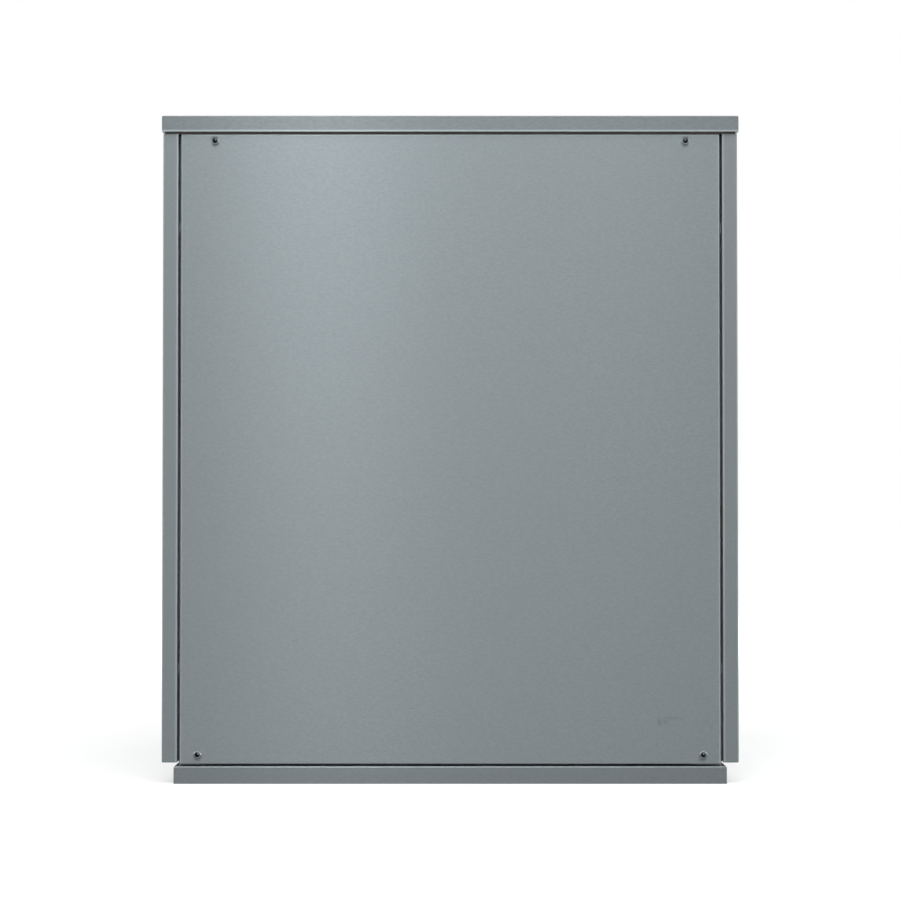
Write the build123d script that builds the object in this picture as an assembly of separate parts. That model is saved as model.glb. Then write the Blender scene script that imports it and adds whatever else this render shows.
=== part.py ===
from build123d import *
import os
from math import cos, radians, sin, sqrt

# A modular ice machine head, the upper half of a commercial ice machine. It stands on a storage
# bin and drops its ice through the base. A folded stainless cabinet holds a vertical grid
# evaporator in a plastic ice compartment at the front, and a compressor, condenser and fan at
# the rear. All sizes are millimetres. X runs across, Y from the front to the rear, and Z up.
# The origin is at the middle of the footprint, connections included, on the underside.

# Cabinet
cabinet_width = 560.0
cabinet_depth = 600.0
cabinet_height = 647.5
connection_reach = 20.0
skin = 0.8
bend_radius = 1.6
lid_lip = 15.5
lid_return = 12.0
lid_side_overhang = 1.0
lid_end_overhang = 2.5
lid_gap = 2.0
seal_setback = 1.7
seal_width = 10.0
plinth_height = 17.0
plinth_inset = 11.7
base_sheet = 1.5
base_return = 24.0
panel_lift = 2.0
side_lift = 3.5
side_flange = 14.8
side_return = 12.0
panel_gap = 2.5
panel_depth = 14.0
service_height = 100.0

# Frame inside the skins
frame_sheet = 1.5
frame_gap = 2.0
post_leg = 25.0
rail_leg = 20.0
seat = 0.3
bracket_width = 22.0
bracket_half_height = 5.0
bracket_foot = 12.0
lid_bracket_width = 26.0

# Screws
screw_radius = 2.0
screw_length = 11.0
screw_head_radius = 4.0
screw_head_height = 2.3
screw_head_chamfer = 0.9
hex_head_radius = 4.6
hollow_radius = 2.7
hollow_depth = 1.6
recess_length = 3.2
recess_width = 1.0
recess_depth = 3.0
hole_clearance = 0.25
thread_clearance = 0.08
top_screw_inset = 33.2
top_screw_drop = 6.8
low_screw_inset = 17.2
low_screw_rise = 9.0
side_screw_drop = 90.0
lid_screw_spread = 180.0

# Holes that fix the base to the bin, and the opening that the ice falls through
bin_bolt_hole_radius = 3.3
bin_bolt_inset = 12.0
chute_depth = 104.0
chute_offset = 12.0
chute_end_inset = 1.0
chute_wall = 3.0
chute_flange = 8.0

# Intake louvres in the side panels
louvre_length = 88.0
louvre_height = 9.0
louvre_reach = 9.0
louvre_pitch = 19.0
louvre_rows = 14
louvre_columns = 2
louvre_column_gap = 14.0
louvre_bottom = 95.0
louvre_rear_margin = 75.0

# Exhaust slots in the rear cover
slot_height = 6.0
slot_corner = 1.8
slot_pitch = 14.0
slot_rib = 9.0

# Ice compartment
liner_wall = 3.0
liner_side_clearance = 1.0
liner_top_drop = 27.0
liner_front_gap = 5.5
liner_back_from_front = 231.5
splash_cover_corner = 5.0
insulation_thickness = 26.0
bulkhead_sheet = 1.0
bulkhead_foot = 15.0

# Evaporator
cell_pitch = 27.0
cell_wall = 3.0
pump_room = 66.0
head_room = 44.0
grid_depth = 25.0
grid_back = 3.0
grid_side_bar = 8.0
grid_top_bar = 14.0
grid_low_bar = 10.0
grid_bar_front = 2.0
grid_top_lip = 16.0
lip_sheet = 2.0
coil_width = 9.0
coil_thickness = 7.0
coil_port_radius = 3.5
coil_port_reach = 10.0
coil_runs = 4
coil_margin = 18.0

# Water system
sump_wall = 3.0
sump_depth = 86.0
sump_height = 90.0
sump_corner = 6.0
sump_front_reach = 12.5
sump_side_gap = 2.0
sump_leg_height = 58.0
sump_leg_width = 22.0
sump_leg_inset = 40.0
evaporator_above_sump = 15.0
ramp_slat = 3.0
ramp_pitch = 13.5
ramp_thickness = 3.0
ramp_bar = 5.0
ramp_drop = 2.0
distributor_radius = 11.0
distributor_wall = 1.5
distributor_reach = 31.0
spray_hole_radius = 1.6
pump_motor_radius = 28.0
pump_motor_height = 66.0
pump_motor_chamfer = 4.0
pump_above_sump = 66.0
pump_column_radius = 11.0
pump_shaft_radius = 3.0
pump_shaft_engagement = 18.0
pump_shelf = 4.0
pump_shelf_flange = 25.0
volute_radius = 30.0
volute_height = 28.0
volute_wall = 2.5
volute_foot = 7.0
volute_inlet_radius = 10.0
impeller_radius = 21.0
impeller_height = 14.0
impeller_disc = 3.0
impeller_vanes = 6
vane_thickness = 2.0
shaft_clearance = 0.06
outlet_radius = 8.0
outlet_rise = 20.0
hose_radius = 7.0
hose_wall = 2.0
hose_bend = 30.0
hose_offset = 13.0
float_stem_radius = 3.0
float_radius = 12.0
float_height = 20.0
float_travel = 25.0
float_stop_height = 3.0
float_from_pump = 47.25
standpipe_radius = 9.0
standpipe_wall = 2.0
standpipe_height = 52.0
drain_radius = 11.0
drain_wall = 2.0
drain_bend = 20.0
drain_rise = 22.0
fill_radius = 5.0
fill_bend = 16.0
fill_end_bend = 8.0
fill_from_post = 12.0
fill_rise = 132.0

# Splash curtain
curtain_thickness = 2.0
curtain_from_grid = 43.0
curtain_above_sump = 11.0
curtain_pin_radius = 3.0
curtain_pin_length = 5.0
curtain_boss_radius = 5.5
curtain_hem = 8.0
hanger_thickness = 6.0
hanger_width = 20.0
hanger_gap = 1.0

# Compressor
compressor_radius = 78.0
compressor_body_height = 205.0
compressor_dome = 38.0
compressor_left = 10.0
compressor_forward = 15.35
compressor_foot_width = 180.0
compressor_foot_depth = 150.0
compressor_foot_sheet = 3.0
compressor_foot_corner = 10.0
compressor_belt = 2.0
compressor_belt_height = 5.0
grommet_height = 15.0
grommet_radius = 12.0
compressor_bolt_radius = 4.0
bolt_head_radius = 7.0
bolt_head_height = 5.0
terminal_width = 56.0
terminal_height = 62.0
terminal_depth = 16.0
port_reach = 12.0

# Condenser and fan
condenser_height = 256.0
condenser_depth = 50.0
condenser_clearance = 4.0
fin_pitch = 11.0
fin_groove = 5.0
groove_depth = 4.0
condenser_plate = 1.5
condenser_flange = 14.0
condenser_side_gap = 22.0
condenser_pipe_room = 48.8
condenser_outlet_inset = 20.0
condenser_inlet_drop = 31.0
shroud_depth = 40.0
shroud_sheet = 1.2
fan_margin = 15.0
fan_ring_depth = 14.0
fan_tip_gap = 4.0
fan_hub_radius = 30.0
fan_hub_depth = 24.0
fan_blades = 5
fan_blade_pitch_deg = 24.0
fan_blade_spread_deg = 50.0
fan_blade_camber = 110.0
fan_blade_corner = 16.0
fan_blade_setback = 5.0
fan_blade_sheet = 1.6
fan_shaft_radius = 4.0
fan_shaft_engagement = 34.0
motor_radius = 40.0
motor_depth = 56.0
motor_gap = 5.0
motor_arms = 4
motor_arm_width = 18.0
motor_arm_sheet = 2.0
motor_arm_spread = 3.0

# Refrigerant circuit
suction_radius = 6.0
discharge_radius = 4.0
hot_gas_radius = 3.2
liquid_radius = 3.0
suction_bend = 18.0
pipe_bend = 12.0
suction_offset = 28.0
suction_rise = 95.0
drier_radius = 14.0
drier_length = 96.0
drier_height = 70.0
drier_offset = 52.0
liquid_offset = 20.0
valve_radius = 9.0
valve_height = 42.0
tee_size = 14.0
solenoid_size = 30.0
solenoid_height = 34.0
hot_gas_offset = 50.0

# Electrical box
box_sheet = 1.0
box_width = 83.0
box_height = 290.0
box_gap = 3.0
box_side_gap = 1.4
box_top_drop = 40.0
box_lug = 14.0
cover_sheet = 1.5
wire_hole_radius = 10.0
board_thickness = 1.6
board_margin = 14.0
standoff_height = 6.0
standoff_radius = 3.0
relay_size = 22.0
relay_height = 18.0
relay_count = 4
capacitor_radius = 20.0
capacitor_height = 80.0
capacitor_margin = 4.0

# Power rocker and wash button
rocker_width = 12.0
rocker_height = 20.0
rocker_tilt_deg = 11.0
rocker_pin_radius = 1.5
rocker_pin_length = 2.0
rocker_clearance = 0.5
rocker_drop = 45.0
switch_border = 3.0
switch_rim = 3.0
switch_body_depth = 14.0
button_radius = 6.0
button_reach = 8.0
button_travel = 3.0
button_drop = 90.0

# Rear connections
nut_plate = 6.0
nut_plate_radius = 18.0
relief_length = 1.5
relief_depth = 1.0
inlet_radius = 13.2
inlet_bore_radius = 8.5
inlet_bore_depth = 26.0
inlet_inset = 70.0
inlet_height = 60.0
inlet_valve_depth = 30.0
inlet_valve_size = 34.0
outlet_stub = 18.0
drain_outlet_radius = 12.0
drain_outlet_bore = 9.0
gland_radius = 10.0
gland_bore_radius = 4.5
gland_inset = 60.0
gland_height = 64.0
gland_length = 16.0

# Places that follow from the sizes above
front = -(cabinet_depth + connection_reach) / 2
rear = front + cabinet_depth
connections_rear = rear + connection_reach
skin_front = front + lid_end_overhang
skin_rear = rear - lid_end_overhang
skin_side = cabinet_width / 2 - lid_side_overhang
panel_side = skin_side - side_flange - panel_gap
panel_bottom = plinth_height + panel_lift
side_bottom = plinth_height + side_lift
lid_bottom = cabinet_height - lid_lip
panel_top = lid_bottom - lid_gap
service_top = panel_bottom + service_height
cover_bottom = service_top + panel_lift
base_side = skin_side - plinth_inset
frame_side = skin_side - side_flange - seat
frame_front = skin_front + panel_depth + frame_gap
frame_rear = skin_rear - panel_depth - frame_gap
post_side = frame_side - post_leg
lid_screw_z = (lid_bottom + cabinet_height) / 2
side_screw_x = skin_side - side_flange / 2
side_screw_levels = (side_bottom + side_screw_drop, panel_top - side_screw_drop)

liner_left = -(post_side - liner_side_clearance)
box_right = frame_side - frame_sheet - box_side_gap
box_left = box_right - box_width
liner_right = box_left - box_gap
liner_top = panel_top - liner_top_drop
liner_front = frame_front + liner_front_gap
liner_back = frame_front + liner_back_from_front
liner_rear = liner_back + liner_wall
inner_left = liner_left + liner_wall
inner_right = liner_right - liner_wall
inner_top = liner_top - liner_wall
bulkhead_front = liner_rear + insulation_thickness
bulkhead_rear = bulkhead_front + bulkhead_sheet

sump_bottom = plinth_height + sump_leg_height
sump_floor = sump_bottom + sump_wall
sump_top = sump_bottom + sump_height
grid_left = inner_left + seat + grid_side_bar
cell_columns = int((inner_right - grid_left - grid_side_bar - pump_room) // cell_pitch)
grid_right = grid_left + cell_pitch * cell_columns
bar_left = grid_left - grid_side_bar
bar_right = grid_right + grid_side_bar
grid_bottom = sump_top + evaporator_above_sump + grid_low_bar
cell_rows = int((inner_top - head_room - grid_top_bar - grid_bottom) // cell_pitch)
grid_top = grid_bottom + cell_pitch * cell_rows
bar_bottom = grid_bottom - grid_low_bar
bar_top = grid_top + grid_top_bar
coil_rear = liner_back - seat
coil_front = coil_rear - coil_thickness
grid_rear = coil_front - seat
grid_front = grid_rear - grid_depth
bar_front = grid_front - grid_bar_front
coil_left = grid_left + coil_margin
coil_right = grid_right - coil_margin
coil_pitch = (cell_pitch * (cell_rows - 2) - coil_width) / (coil_runs - 1)
coil_low = (grid_bottom + grid_top - coil_pitch * (coil_runs - 1)) / 2
coil_high = coil_low + coil_pitch * (coil_runs - 1)
coil_port_x = coil_right - coil_width
coil_port_rear = bulkhead_rear + coil_port_reach
distributor_y = grid_front - grid_top_lip + seat
distributor_z = bar_top + distributor_radius + seat
curtain_y = grid_front - curtain_from_grid
curtain_z = bar_top + 2 * distributor_radius + 2 * seat + curtain_boss_radius + hanger_gap
curtain_left = inner_left + seat + hanger_thickness + hanger_gap
curtain_right = bar_right - hanger_thickness + seat
curtain_bottom = sump_top + curtain_above_sump

sump_front = curtain_y - sump_front_reach
sump_rear = sump_front + sump_depth
sump_left = inner_left + sump_side_gap
sump_right = inner_right - sump_side_gap
sump_y = (sump_front + sump_rear) / 2
pump_x = sump_right - sump_wall - volute_radius - hole_clearance
pump_y = sump_rear - sump_wall - volute_radius - volute_foot
shelf_top = sump_top + pump_above_sump
shelf_bottom = shelf_top - pump_shelf
volute_bottom = sump_floor + volute_foot
volute_top = volute_bottom + volute_height
outlet_top = volute_top + outlet_rise
hose_x = bar_right + hose_offset
hose_y = sump_front + sump_wall + outlet_radius + hose_wall
hose_top = distributor_z - distributor_reach
chute_left = grid_left + chute_offset
chute_right = grid_right - chute_end_inset
chute_front = liner_front + chute_flange + chute_wall
chute_rear = chute_front + chute_depth

cover_x = (-panel_side, panel_side)
nut_face = skin_rear - skin
compressor_x = -post_side + compressor_left + compressor_radius
compressor_y = (bulkhead_rear + nut_face) / 2 - compressor_forward
condenser_right = frame_side - condenser_side_gap
condenser_left = compressor_x + compressor_foot_width / 2 + condenser_pipe_room
condenser_bottom = cover_bottom + condenser_clearance
condenser_top = condenser_bottom + condenser_height
condenser_front = compressor_y - condenser_depth / 2
condenser_rear = condenser_front + condenser_depth
condenser_y = (condenser_front + condenser_rear) / 2
condenser_inlet_z = condenser_top - condenser_inlet_drop
condenser_outlet_x = condenser_left + condenser_outlet_inset
fan_x = (condenser_left + condenser_right) / 2
fan_z = (condenser_bottom + condenser_top) / 2
fan_opening_radius = min(condenser_right - condenser_left, condenser_height) / 2 - fan_margin
shroud_rear = condenser_rear + shroud_depth
fan_rear = shroud_rear + fan_ring_depth / 2
motor_front = fan_rear + motor_gap

foot_bottom = plinth_height + grommet_height
foot_top = foot_bottom + compressor_foot_sheet
compressor_top = foot_top + compressor_body_height
suction_stub = compressor_x + compressor_radius + port_reach
suction_z = foot_top + suction_rise
suction_x = condenser_left - suction_offset
discharge_stub = compressor_top + port_reach
discharge_x = compressor_x + hot_gas_offset

tee_y = coil_port_rear + tee_size / 2
valve_y = coil_port_rear + tee_size + valve_radius
hot_valve_front = tee_y + 2 * pipe_bend + tee_size
hot_valve_rear = hot_valve_front + solenoid_size
drier_left = condenser_left + drier_offset
drier_right = drier_left + drier_length
liquid_x = drier_right + liquid_offset
drain_x = (compressor_x + compressor_foot_width / 2 + condenser_left) / 2
drain_z = plinth_height + drain_rise
float_x = pump_x - volute_radius - float_from_pump
drain_hose_end = nut_face - nut_plate - outlet_stub
inlet_x = -panel_side + inlet_inset
gland_x = panel_side - gland_inset
inlet_valve_front = nut_face - nut_plate - inlet_valve_depth
fill_x = -post_side - fill_from_post
fill_y = sump_y
fill_z = inlet_height + fill_rise

box_top = panel_top - box_top_drop
box_bottom = box_top - box_height
box_front = frame_front + post_leg + hanger_gap
cover_face = box_front - cover_sheet
switch_x = (box_left + box_right) / 2
rocker_z = box_top - rocker_drop
button_z = box_top - button_drop
rocker_reach = sqrt((rocker_height / 2) ** 2 + (rocker_height / 4) ** 2)
rocker_pocket = (rocker_width / 2 + rocker_clearance, rocker_reach + rocker_clearance)


def block(x, y, z):
    """A box between pairs of coordinates, each the low one and then the high one."""
    sizes = [high - low for low, high in (x, y, z)]
    middles = [(high + low) / 2 for low, high in (x, y, z)]
    return Pos(*middles) * Box(*sizes)


def rod_x(x, y, z, radius):
    """A cylinder along X over the span x."""
    return Pos((x[0] + x[1]) / 2, y, z) * Rot(0, 90, 0) * Cylinder(radius, x[1] - x[0])


def rod_y(x, y, z, radius):
    """A cylinder along Y over the span y."""
    return Pos(x, (y[0] + y[1]) / 2, z) * Rot(90, 0, 0) * Cylinder(radius, y[1] - y[0])


def rod_z(x, y, z, radius):
    """A cylinder along Z over the span z."""
    return Pos(x, y, (z[0] + z[1]) / 2) * Cylinder(radius, z[1] - z[0])


def around(middle, half):
    """The span that reaches half each way from a middle."""
    return (middle - half, middle + half)


def span(start, end):
    """The span between two coordinates, whichever is the larger."""
    return (min(start, end), max(start, end))


SIDES = {"-X": (0, 0), "+X": (0, 1), "-Y": (1, 0), "+Y": (1, 1), "-Z": (2, 0), "+Z": (2, 1)}
AXES = (Axis.X, Axis.Y, Axis.Z)


def rounded(solid, side, radius):
    """The solid with the edges of one side's face rounded as a bend leaves them."""
    axis, end = SIDES[side]
    return fillet(solid.faces().sort_by(AXES[axis])[-end].edges(), radius)


def pan(x, y, z, side, sheet):
    """A folded pan: one closed side, four walls round it and the far side open."""
    axis, end = SIDES[side]
    inner = [[low + sheet, high - sheet] for low, high in (x, y, z)]
    inner[axis][1 - end] += (1 - 2 * end) * 2 * sheet
    hollow = rounded(block(*inner), side, bend_radius - sheet)
    return rounded(block(x, y, z), side, bend_radius) - hollow


def profile_x(x, points):
    """A prism along X over the span x, from corner points in Y and Z."""
    face = Plane.YZ * make_face(Polyline(*points, close=True))
    return Pos(x[0], 0, 0) * extrude(face, x[1] - x[0])


def profile_y(y, points):
    """A prism along Y over the span y, from corner points in X and Z."""
    face = Plane.XZ * make_face(Polyline(*points, close=True))
    return Pos(0, y[1], 0) * extrude(face, y[1] - y[0])


def tube(points, bends, radius):
    """A round rod along straight runs joined by arcs. Bends is one radius, or one for each corner."""
    rod = None
    for edge in FilletPolyline(*points, radius=bends).edges():
        into, out_of = edge % 0, edge % 1
        section = Plane(origin=edge @ 0, z_dir=into) * Circle(radius)
        if edge.geom_type == GeomType.LINE:
            piece = extrude(section, edge.length)
        else:
            piece = revolve(section, Axis(edge.arc_center, into.cross(out_of)), into.get_angle(out_of))
        rod = piece if rod is None else rod + piece
    return rod


def save(name, *solids):
    """Writes one sub-part. Several separate solids share it as a group."""
    shape = solids[0] if len(solids) == 1 else Compound(children=list(solids))
    shape.label = name
    export_step(shape, f"parts/{name}.step")


# Fasteners, each through a skin at an outer face. Inward is +1 at the front and -1 at the rear.

front_screws = [(side * spread, z, foot)
                for spread, z, foot in ((panel_side - top_screw_inset, panel_top - top_screw_drop, -1),
                                        (panel_side - low_screw_inset, panel_bottom + low_screw_rise, 1))
                for side in (-1, 1)]
cover_screws = [(side * spread, z, foot)
                for spread, z, foot in ((panel_side - top_screw_inset, panel_top - top_screw_drop, -1),
                                        (panel_side - low_screw_inset, cover_bottom + low_screw_rise, 1))
                for side in (-1, 1)]
service_screws = [(side * (panel_side - low_screw_inset), panel_bottom + service_height / 2, 1)
                  for side in (-1, 1)]
side_screws = [(side * side_screw_x, z) for side in (-1, 1) for z in side_screw_levels]
lid_screws = [(side * lid_screw_spread, lid_screw_z) for side in (-1, 1)]
box_screws = [(switch_x, z) for z in (box_bottom + box_lug / 2 + box_sheet,
                                      box_top - box_lug / 2 - box_sheet)]


def cross_screw(x, z, face, inward):
    """A pan head screw with a round hollow in its head and a cross recess below it, along Y."""
    def along(start, end):
        return span(face + inward * start, face + inward * end)
    head = rod_y(x, along(-screw_head_height, 0), z, screw_head_radius)
    head = chamfer(head.faces().sort_by(Axis.Y)[0 if inward > 0 else -1].edges(), screw_head_chamfer)
    head -= rod_y(x, along(-screw_head_height - 1, -screw_head_height + hollow_depth), z, hollow_radius)
    screw = head + rod_y(x, along(0, screw_length), z, screw_radius)
    depth = along(-screw_head_height - 1, -screw_head_height + recess_depth)
    screw -= block(around(x, recess_length / 2), depth, around(z, recess_width / 2))
    return screw - block(around(x, recess_width / 2), depth, around(z, recess_length / 2))


def hex_screw(x, z, face):
    """A hexagon head sheet metal screw from the rear, along Y."""
    hexagon = Plane.XZ * Pos(x, z) * RegularPolygon(hex_head_radius, 6)
    head = Pos(0, face + screw_head_height, 0) * extrude(hexagon, screw_head_height)
    return head + rod_y(x, (face - screw_length, face), z, screw_radius)


def screw_hole(x, z, y, clearance):
    """A cutter for a screw's hole that runs a little past both ends of the span y."""
    return rod_y(x, (y[0] - frame_sheet, y[1] + frame_sheet), z, screw_radius + clearance)


def panel_bracket(x, z, face, frame_face, foot_up):
    """A Z bracket: a tab behind the skin, a web, and a foot that lies on the frame."""
    inward = 1 if frame_face > face else -1
    back = face + inward * skin
    half = bracket_width / 2
    edge = z + foot_up * bracket_half_height
    tab_y = span(back, back + inward * frame_sheet)
    solid = block(around(x, half), tab_y, around(z, bracket_half_height))
    solid += block(around(x, half), span(back, frame_face), span(edge, edge + foot_up * frame_sheet))
    solid += block(around(x, half), span(frame_face, frame_face - inward * frame_sheet),
                   span(edge, edge + foot_up * bracket_foot))
    return solid - screw_hole(x, z, tab_y, thread_clearance)


def side_bracket(side, level, end):
    """A Z bracket behind a side panel's front (end -1) or rear (end 1) flange, drilled at the rear."""
    back = skin_front + skin if end < 0 else skin_rear - skin
    frame_face = frame_front if end < 0 else frame_rear
    z = around(level, bracket_half_height)
    inner = skin_side - side_flange + bend_radius
    outer = skin_side - bend_radius - seat
    tab_y = span(back, back - end * frame_sheet)
    web = span(side * inner, side * (inner + frame_sheet))
    solid = block(span(side * inner, side * outer), tab_y, z)
    solid += block(web, span(back, frame_face), z)
    solid += block(span(side * (frame_side - bracket_foot), side * (inner + frame_sheet)),
                   span(frame_face, frame_face + end * frame_sheet), z)
    if end < 0:
        return solid
    return solid - screw_hole(side * side_screw_x, level, tab_y, thread_clearance)


def lid_bracket(x):
    """An angle on the rear crossbar that the lid's rear lip is screwed to."""
    tab_y = (rear - skin - frame_sheet, rear - skin)
    half = lid_bracket_width / 2
    tab = block(around(x, half), tab_y, (panel_top, lid_screw_z + bracket_half_height))
    foot = block(around(x, half), (frame_rear - rail_leg / 2, tab_y[1]),
                 (panel_top, panel_top + frame_sheet))
    return tab + foot - screw_hole(x, lid_screw_z, tab_y, thread_clearance)


# Cabinet

def base_tray():
    """A deck with its edges folded down and in again, which stands on the bin."""
    x, y = around(0, base_side), (skin_front, skin_rear)
    sheet, edge = base_sheet, base_return
    tray = rounded(block(x, y, (0, plinth_height)), "+Z", bend_radius)
    tray -= block((x[0] + sheet, x[1] - sheet), (y[0] + sheet, y[1] - sheet),
                  (sheet, plinth_height - sheet))
    tray -= block((x[0] + edge, x[1] - edge), (y[0] + edge, y[1] - edge), (-sheet, 2 * sheet))
    fit = chute_wall + seat
    tray -= block((chute_left - fit, chute_right + fit), (chute_front - fit, chute_rear + fit),
                  (sheet, plinth_height + sheet))
    tray -= [rod_z(px, py, (-sheet, 2 * sheet), bin_bolt_hole_radius)
             for px in (x[0] + bin_bolt_inset, x[1] - bin_bolt_inset)
             for py in (y[0] + bin_bolt_inset, y[1] - bin_bolt_inset)]
    tray -= [rod_z(px, py, (plinth_height - 2 * sheet, plinth_height + sheet),
                   compressor_bolt_radius + hole_clearance)
             for px, py in compressor_bolt_places()]
    return tray


def ice_chute_collar():
    """The plastic frame that lines the opening in the base."""
    def ring(border, z):
        return block((chute_left - border, chute_right + border),
                     (chute_front - border, chute_rear + border), z)
    flange = ring(chute_wall + chute_flange, (plinth_height, plinth_height + chute_wall))
    skirt = ring(chute_wall, (base_sheet, plinth_height))
    return flange + skirt - ring(0, (0, plinth_height + 2 * chute_wall))


def lid():
    """The top, a pan that opens down, with its front and side lips turned in at the bottom."""
    x, y, z = around(0, cabinet_width / 2), (front, rear), (lid_bottom, cabinet_height)
    top = pan(x, y, z, "+Z", skin)
    rim = (lid_bottom, lid_bottom + skin)
    inset = skin / 2
    top += block((x[0] + inset, x[1] - inset), (y[0] + inset, y[0] + lid_return), rim)
    for edge in ((x[0] + inset, x[0] + lid_return), (x[1] - lid_return, x[1] - inset)):
        top += block(edge, (y[0] + inset, y[1] - lid_return), rim)
    return top - [screw_hole(sx, sz, (rear - skin, rear), hole_clearance) for sx, sz in lid_screws]


def lid_seal():
    """A foam strip in a U under the lid's lips, set back from the skins and open at the rear."""
    x = around(0, skin_side - seal_setback)
    y = (skin_front + seal_setback, rear - lid_return)
    width = seal_width
    return block(x, y, (panel_top, lid_bottom)) - block(
        (x[0] + width, x[1] - width), (y[0] + width, y[1] + width),
        (panel_top - lid_gap, lid_bottom + lid_gap))


def front_panel():
    """The plain front, held by four screws."""
    panel = pan(cover_x, (skin_front, skin_front + panel_depth), (panel_bottom, panel_top),
                "-Y", skin)
    return panel - [screw_hole(x, z, (skin_front, skin_front + skin), hole_clearance)
                    for x, z, _ in front_screws]


def louvre_places():
    """The rear end and middle height of every louvre."""
    last = skin_rear - louvre_rear_margin
    return [(last - column * (louvre_length + louvre_column_gap), louvre_bottom + row * louvre_pitch)
            for column in range(louvre_columns) for row in range(louvre_rows)]


def louvre_hood(end, level):
    """One hood pressed inwards: a slope from its top edge down, closed at both ends."""
    out, top, low = skin_side, level + louvre_height / 2, level - louvre_height / 2
    inner = out - skin - louvre_reach
    hood = profile_y((end - louvre_length - skin, end + skin),
                     ((out - skin / 2, top + skin), (out - skin / 2, low), (inner, low)))
    hollow = profile_y((end - louvre_length, end),
                       ((out + skin, top), (out - skin, top), (inner + skin, low - skin),
                        (out + skin, low - skin)))
    return hood - hollow


def side_panel():
    """The right side: a deep pan whose front and rear flanges turn back along the gaps."""
    x, y = (skin_side - side_flange, skin_side), (skin_front, skin_rear)
    panel = pan(x, y, (side_bottom, panel_top), "+X", skin)
    tip = (x[0], x[0] + skin)
    inset = skin / 2
    for turned in ((y[0] + inset, y[0] + side_return), (y[1] - side_return, y[1] - inset)):
        panel += block(tip, turned, (side_bottom, panel_top))
    panel -= [block((skin_side - 2 * skin, skin_side + skin), (end - louvre_length, end),
                    around(level, louvre_height / 2)) for end, level in louvre_places()]
    panel += [louvre_hood(end, level) for end, level in louvre_places()]
    return panel - [screw_hole(side_screw_x, z, (skin_rear - skin, skin_rear), hole_clearance)
                    for z in side_screw_levels]


def exhaust_slots():
    """Rows of slots with cut corners that fill a circle, parted by an upright rib in the middle."""
    slots = []
    rows = int((fan_opening_radius - slot_height) // slot_pitch)
    for row in range(-rows, rows + 1):
        level = row * slot_pitch
        half = sqrt(fan_opening_radius ** 2 - (abs(level) + slot_height / 2) ** 2)
        length = half - slot_rib / 2
        if length < 3 * slot_height:
            continue
        outline = Rectangle(length, slot_height)
        outline = chamfer(outline.vertices(), slot_corner)
        slot = extrude(Plane.XZ * outline, 2 * skin, both=True)
        slots += [Pos(fan_x + side * (slot_rib + length) / 2, skin_rear, fan_z + level) * slot
                  for side in (-1, 1)]
    return slots


def rear_cover():
    """The upper rear skin, with the exhaust slots behind the fan."""
    cover = pan(cover_x, (skin_rear - panel_depth, skin_rear), (cover_bottom, panel_top),
                "+Y", skin)
    cover -= exhaust_slots()
    return cover - [screw_hole(x, z, (skin_rear - skin, skin_rear), hole_clearance)
                    for x, z, _ in cover_screws]


def rear_service_panel():
    """The lower rear skin, which carries the water and power connections."""
    panel = pan(cover_x, (skin_rear - panel_depth, skin_rear), (panel_bottom, service_top),
                "+Y", skin)
    through = (skin_rear - 2 * skin, skin_rear + skin)
    panel -= [rod_y(x, through, z, radius + seat)
              for x, z, radius in ((inlet_x, inlet_height, inlet_radius),
                                   (drain_x, drain_z, drain_outlet_radius),
                                   (gland_x, gland_height, gland_radius))]
    return panel - [screw_hole(x, z, (skin_rear - skin, skin_rear), hole_clearance)
                    for x, z, _ in service_screws]


# Frame

def corner_post(side, end):
    """An upright angle at one corner. Side is -1 left or 1 right, end -1 front or 1 rear."""
    outer_x = side * frame_side
    outer_y = frame_front if end < 0 else frame_rear
    z = (plinth_height, panel_top)
    leg_x, leg_y = span(outer_x, outer_x - side * post_leg), span(outer_y, outer_y - end * post_leg)
    post = block(leg_x, span(outer_y, outer_y - end * frame_sheet), z)
    return post + block(span(outer_x, outer_x - side * frame_sheet), leg_y, z)


def side_rail(side):
    """The top angle that joins a front post to a rear post."""
    outer = side * frame_side
    y = (frame_front + post_leg, frame_rear - post_leg)
    rail = block(span(outer, outer - side * frame_sheet), y, (panel_top - rail_leg, panel_top))
    return rail + block(span(outer, outer - side * rail_leg), y, (panel_top - frame_sheet, panel_top))


def crossbar(outer, inward):
    """The top angle that joins the left post to the right one."""
    x = around(0, post_side)
    bar = block(x, span(outer, outer + inward * frame_sheet), (panel_top - rail_leg, panel_top))
    return bar + block(x, span(outer, outer + inward * rail_leg), (panel_top - frame_sheet, panel_top))


# Ice compartment

def port_holes(y):
    """Cutters for the holes that the evaporator's ports and the drain hose pass through."""
    through = (y[0] - skin, y[1] + skin)
    holes = [rod_y(coil_port_x, through, level, coil_port_radius + 1.0)
             for level in (coil_low, coil_high)]
    return holes + [rod_y(drain_x, through, drain_z, drain_radius + 1.0)]


def curtain_hanger(x):
    """One ear under the liner's top, bored for a pin of the splash curtain."""
    ear = block(x, around(curtain_y, hanger_width / 2), (curtain_z - hanger_width / 2.5, inner_top))
    return ear - rod_x((x[0] - skin, x[1] + skin), curtain_y, curtain_z,
                       curtain_pin_radius + shaft_clearance)


def ice_compartment_liner():
    """The moulded walls round the evaporator, open at the front and down to the chute."""
    y = (liner_front, liner_rear)
    shell = block((liner_left, liner_right), y, (plinth_height, liner_top))
    shell -= block((inner_left, inner_right), (y[0] - liner_wall, liner_back),
                   (plinth_height - liner_wall, inner_top))
    shell -= port_holes((liner_back, liner_rear))
    shell -= rod_x((liner_left - skin, inner_left + skin), fill_y, fill_z, fill_radius + 1.0)
    for x in ((curtain_left - hanger_gap - hanger_thickness, curtain_left - hanger_gap),
              (curtain_right + hanger_gap, curtain_right + hanger_gap + hanger_thickness)):
        shell += curtain_hanger(x)
    return shell


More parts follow.
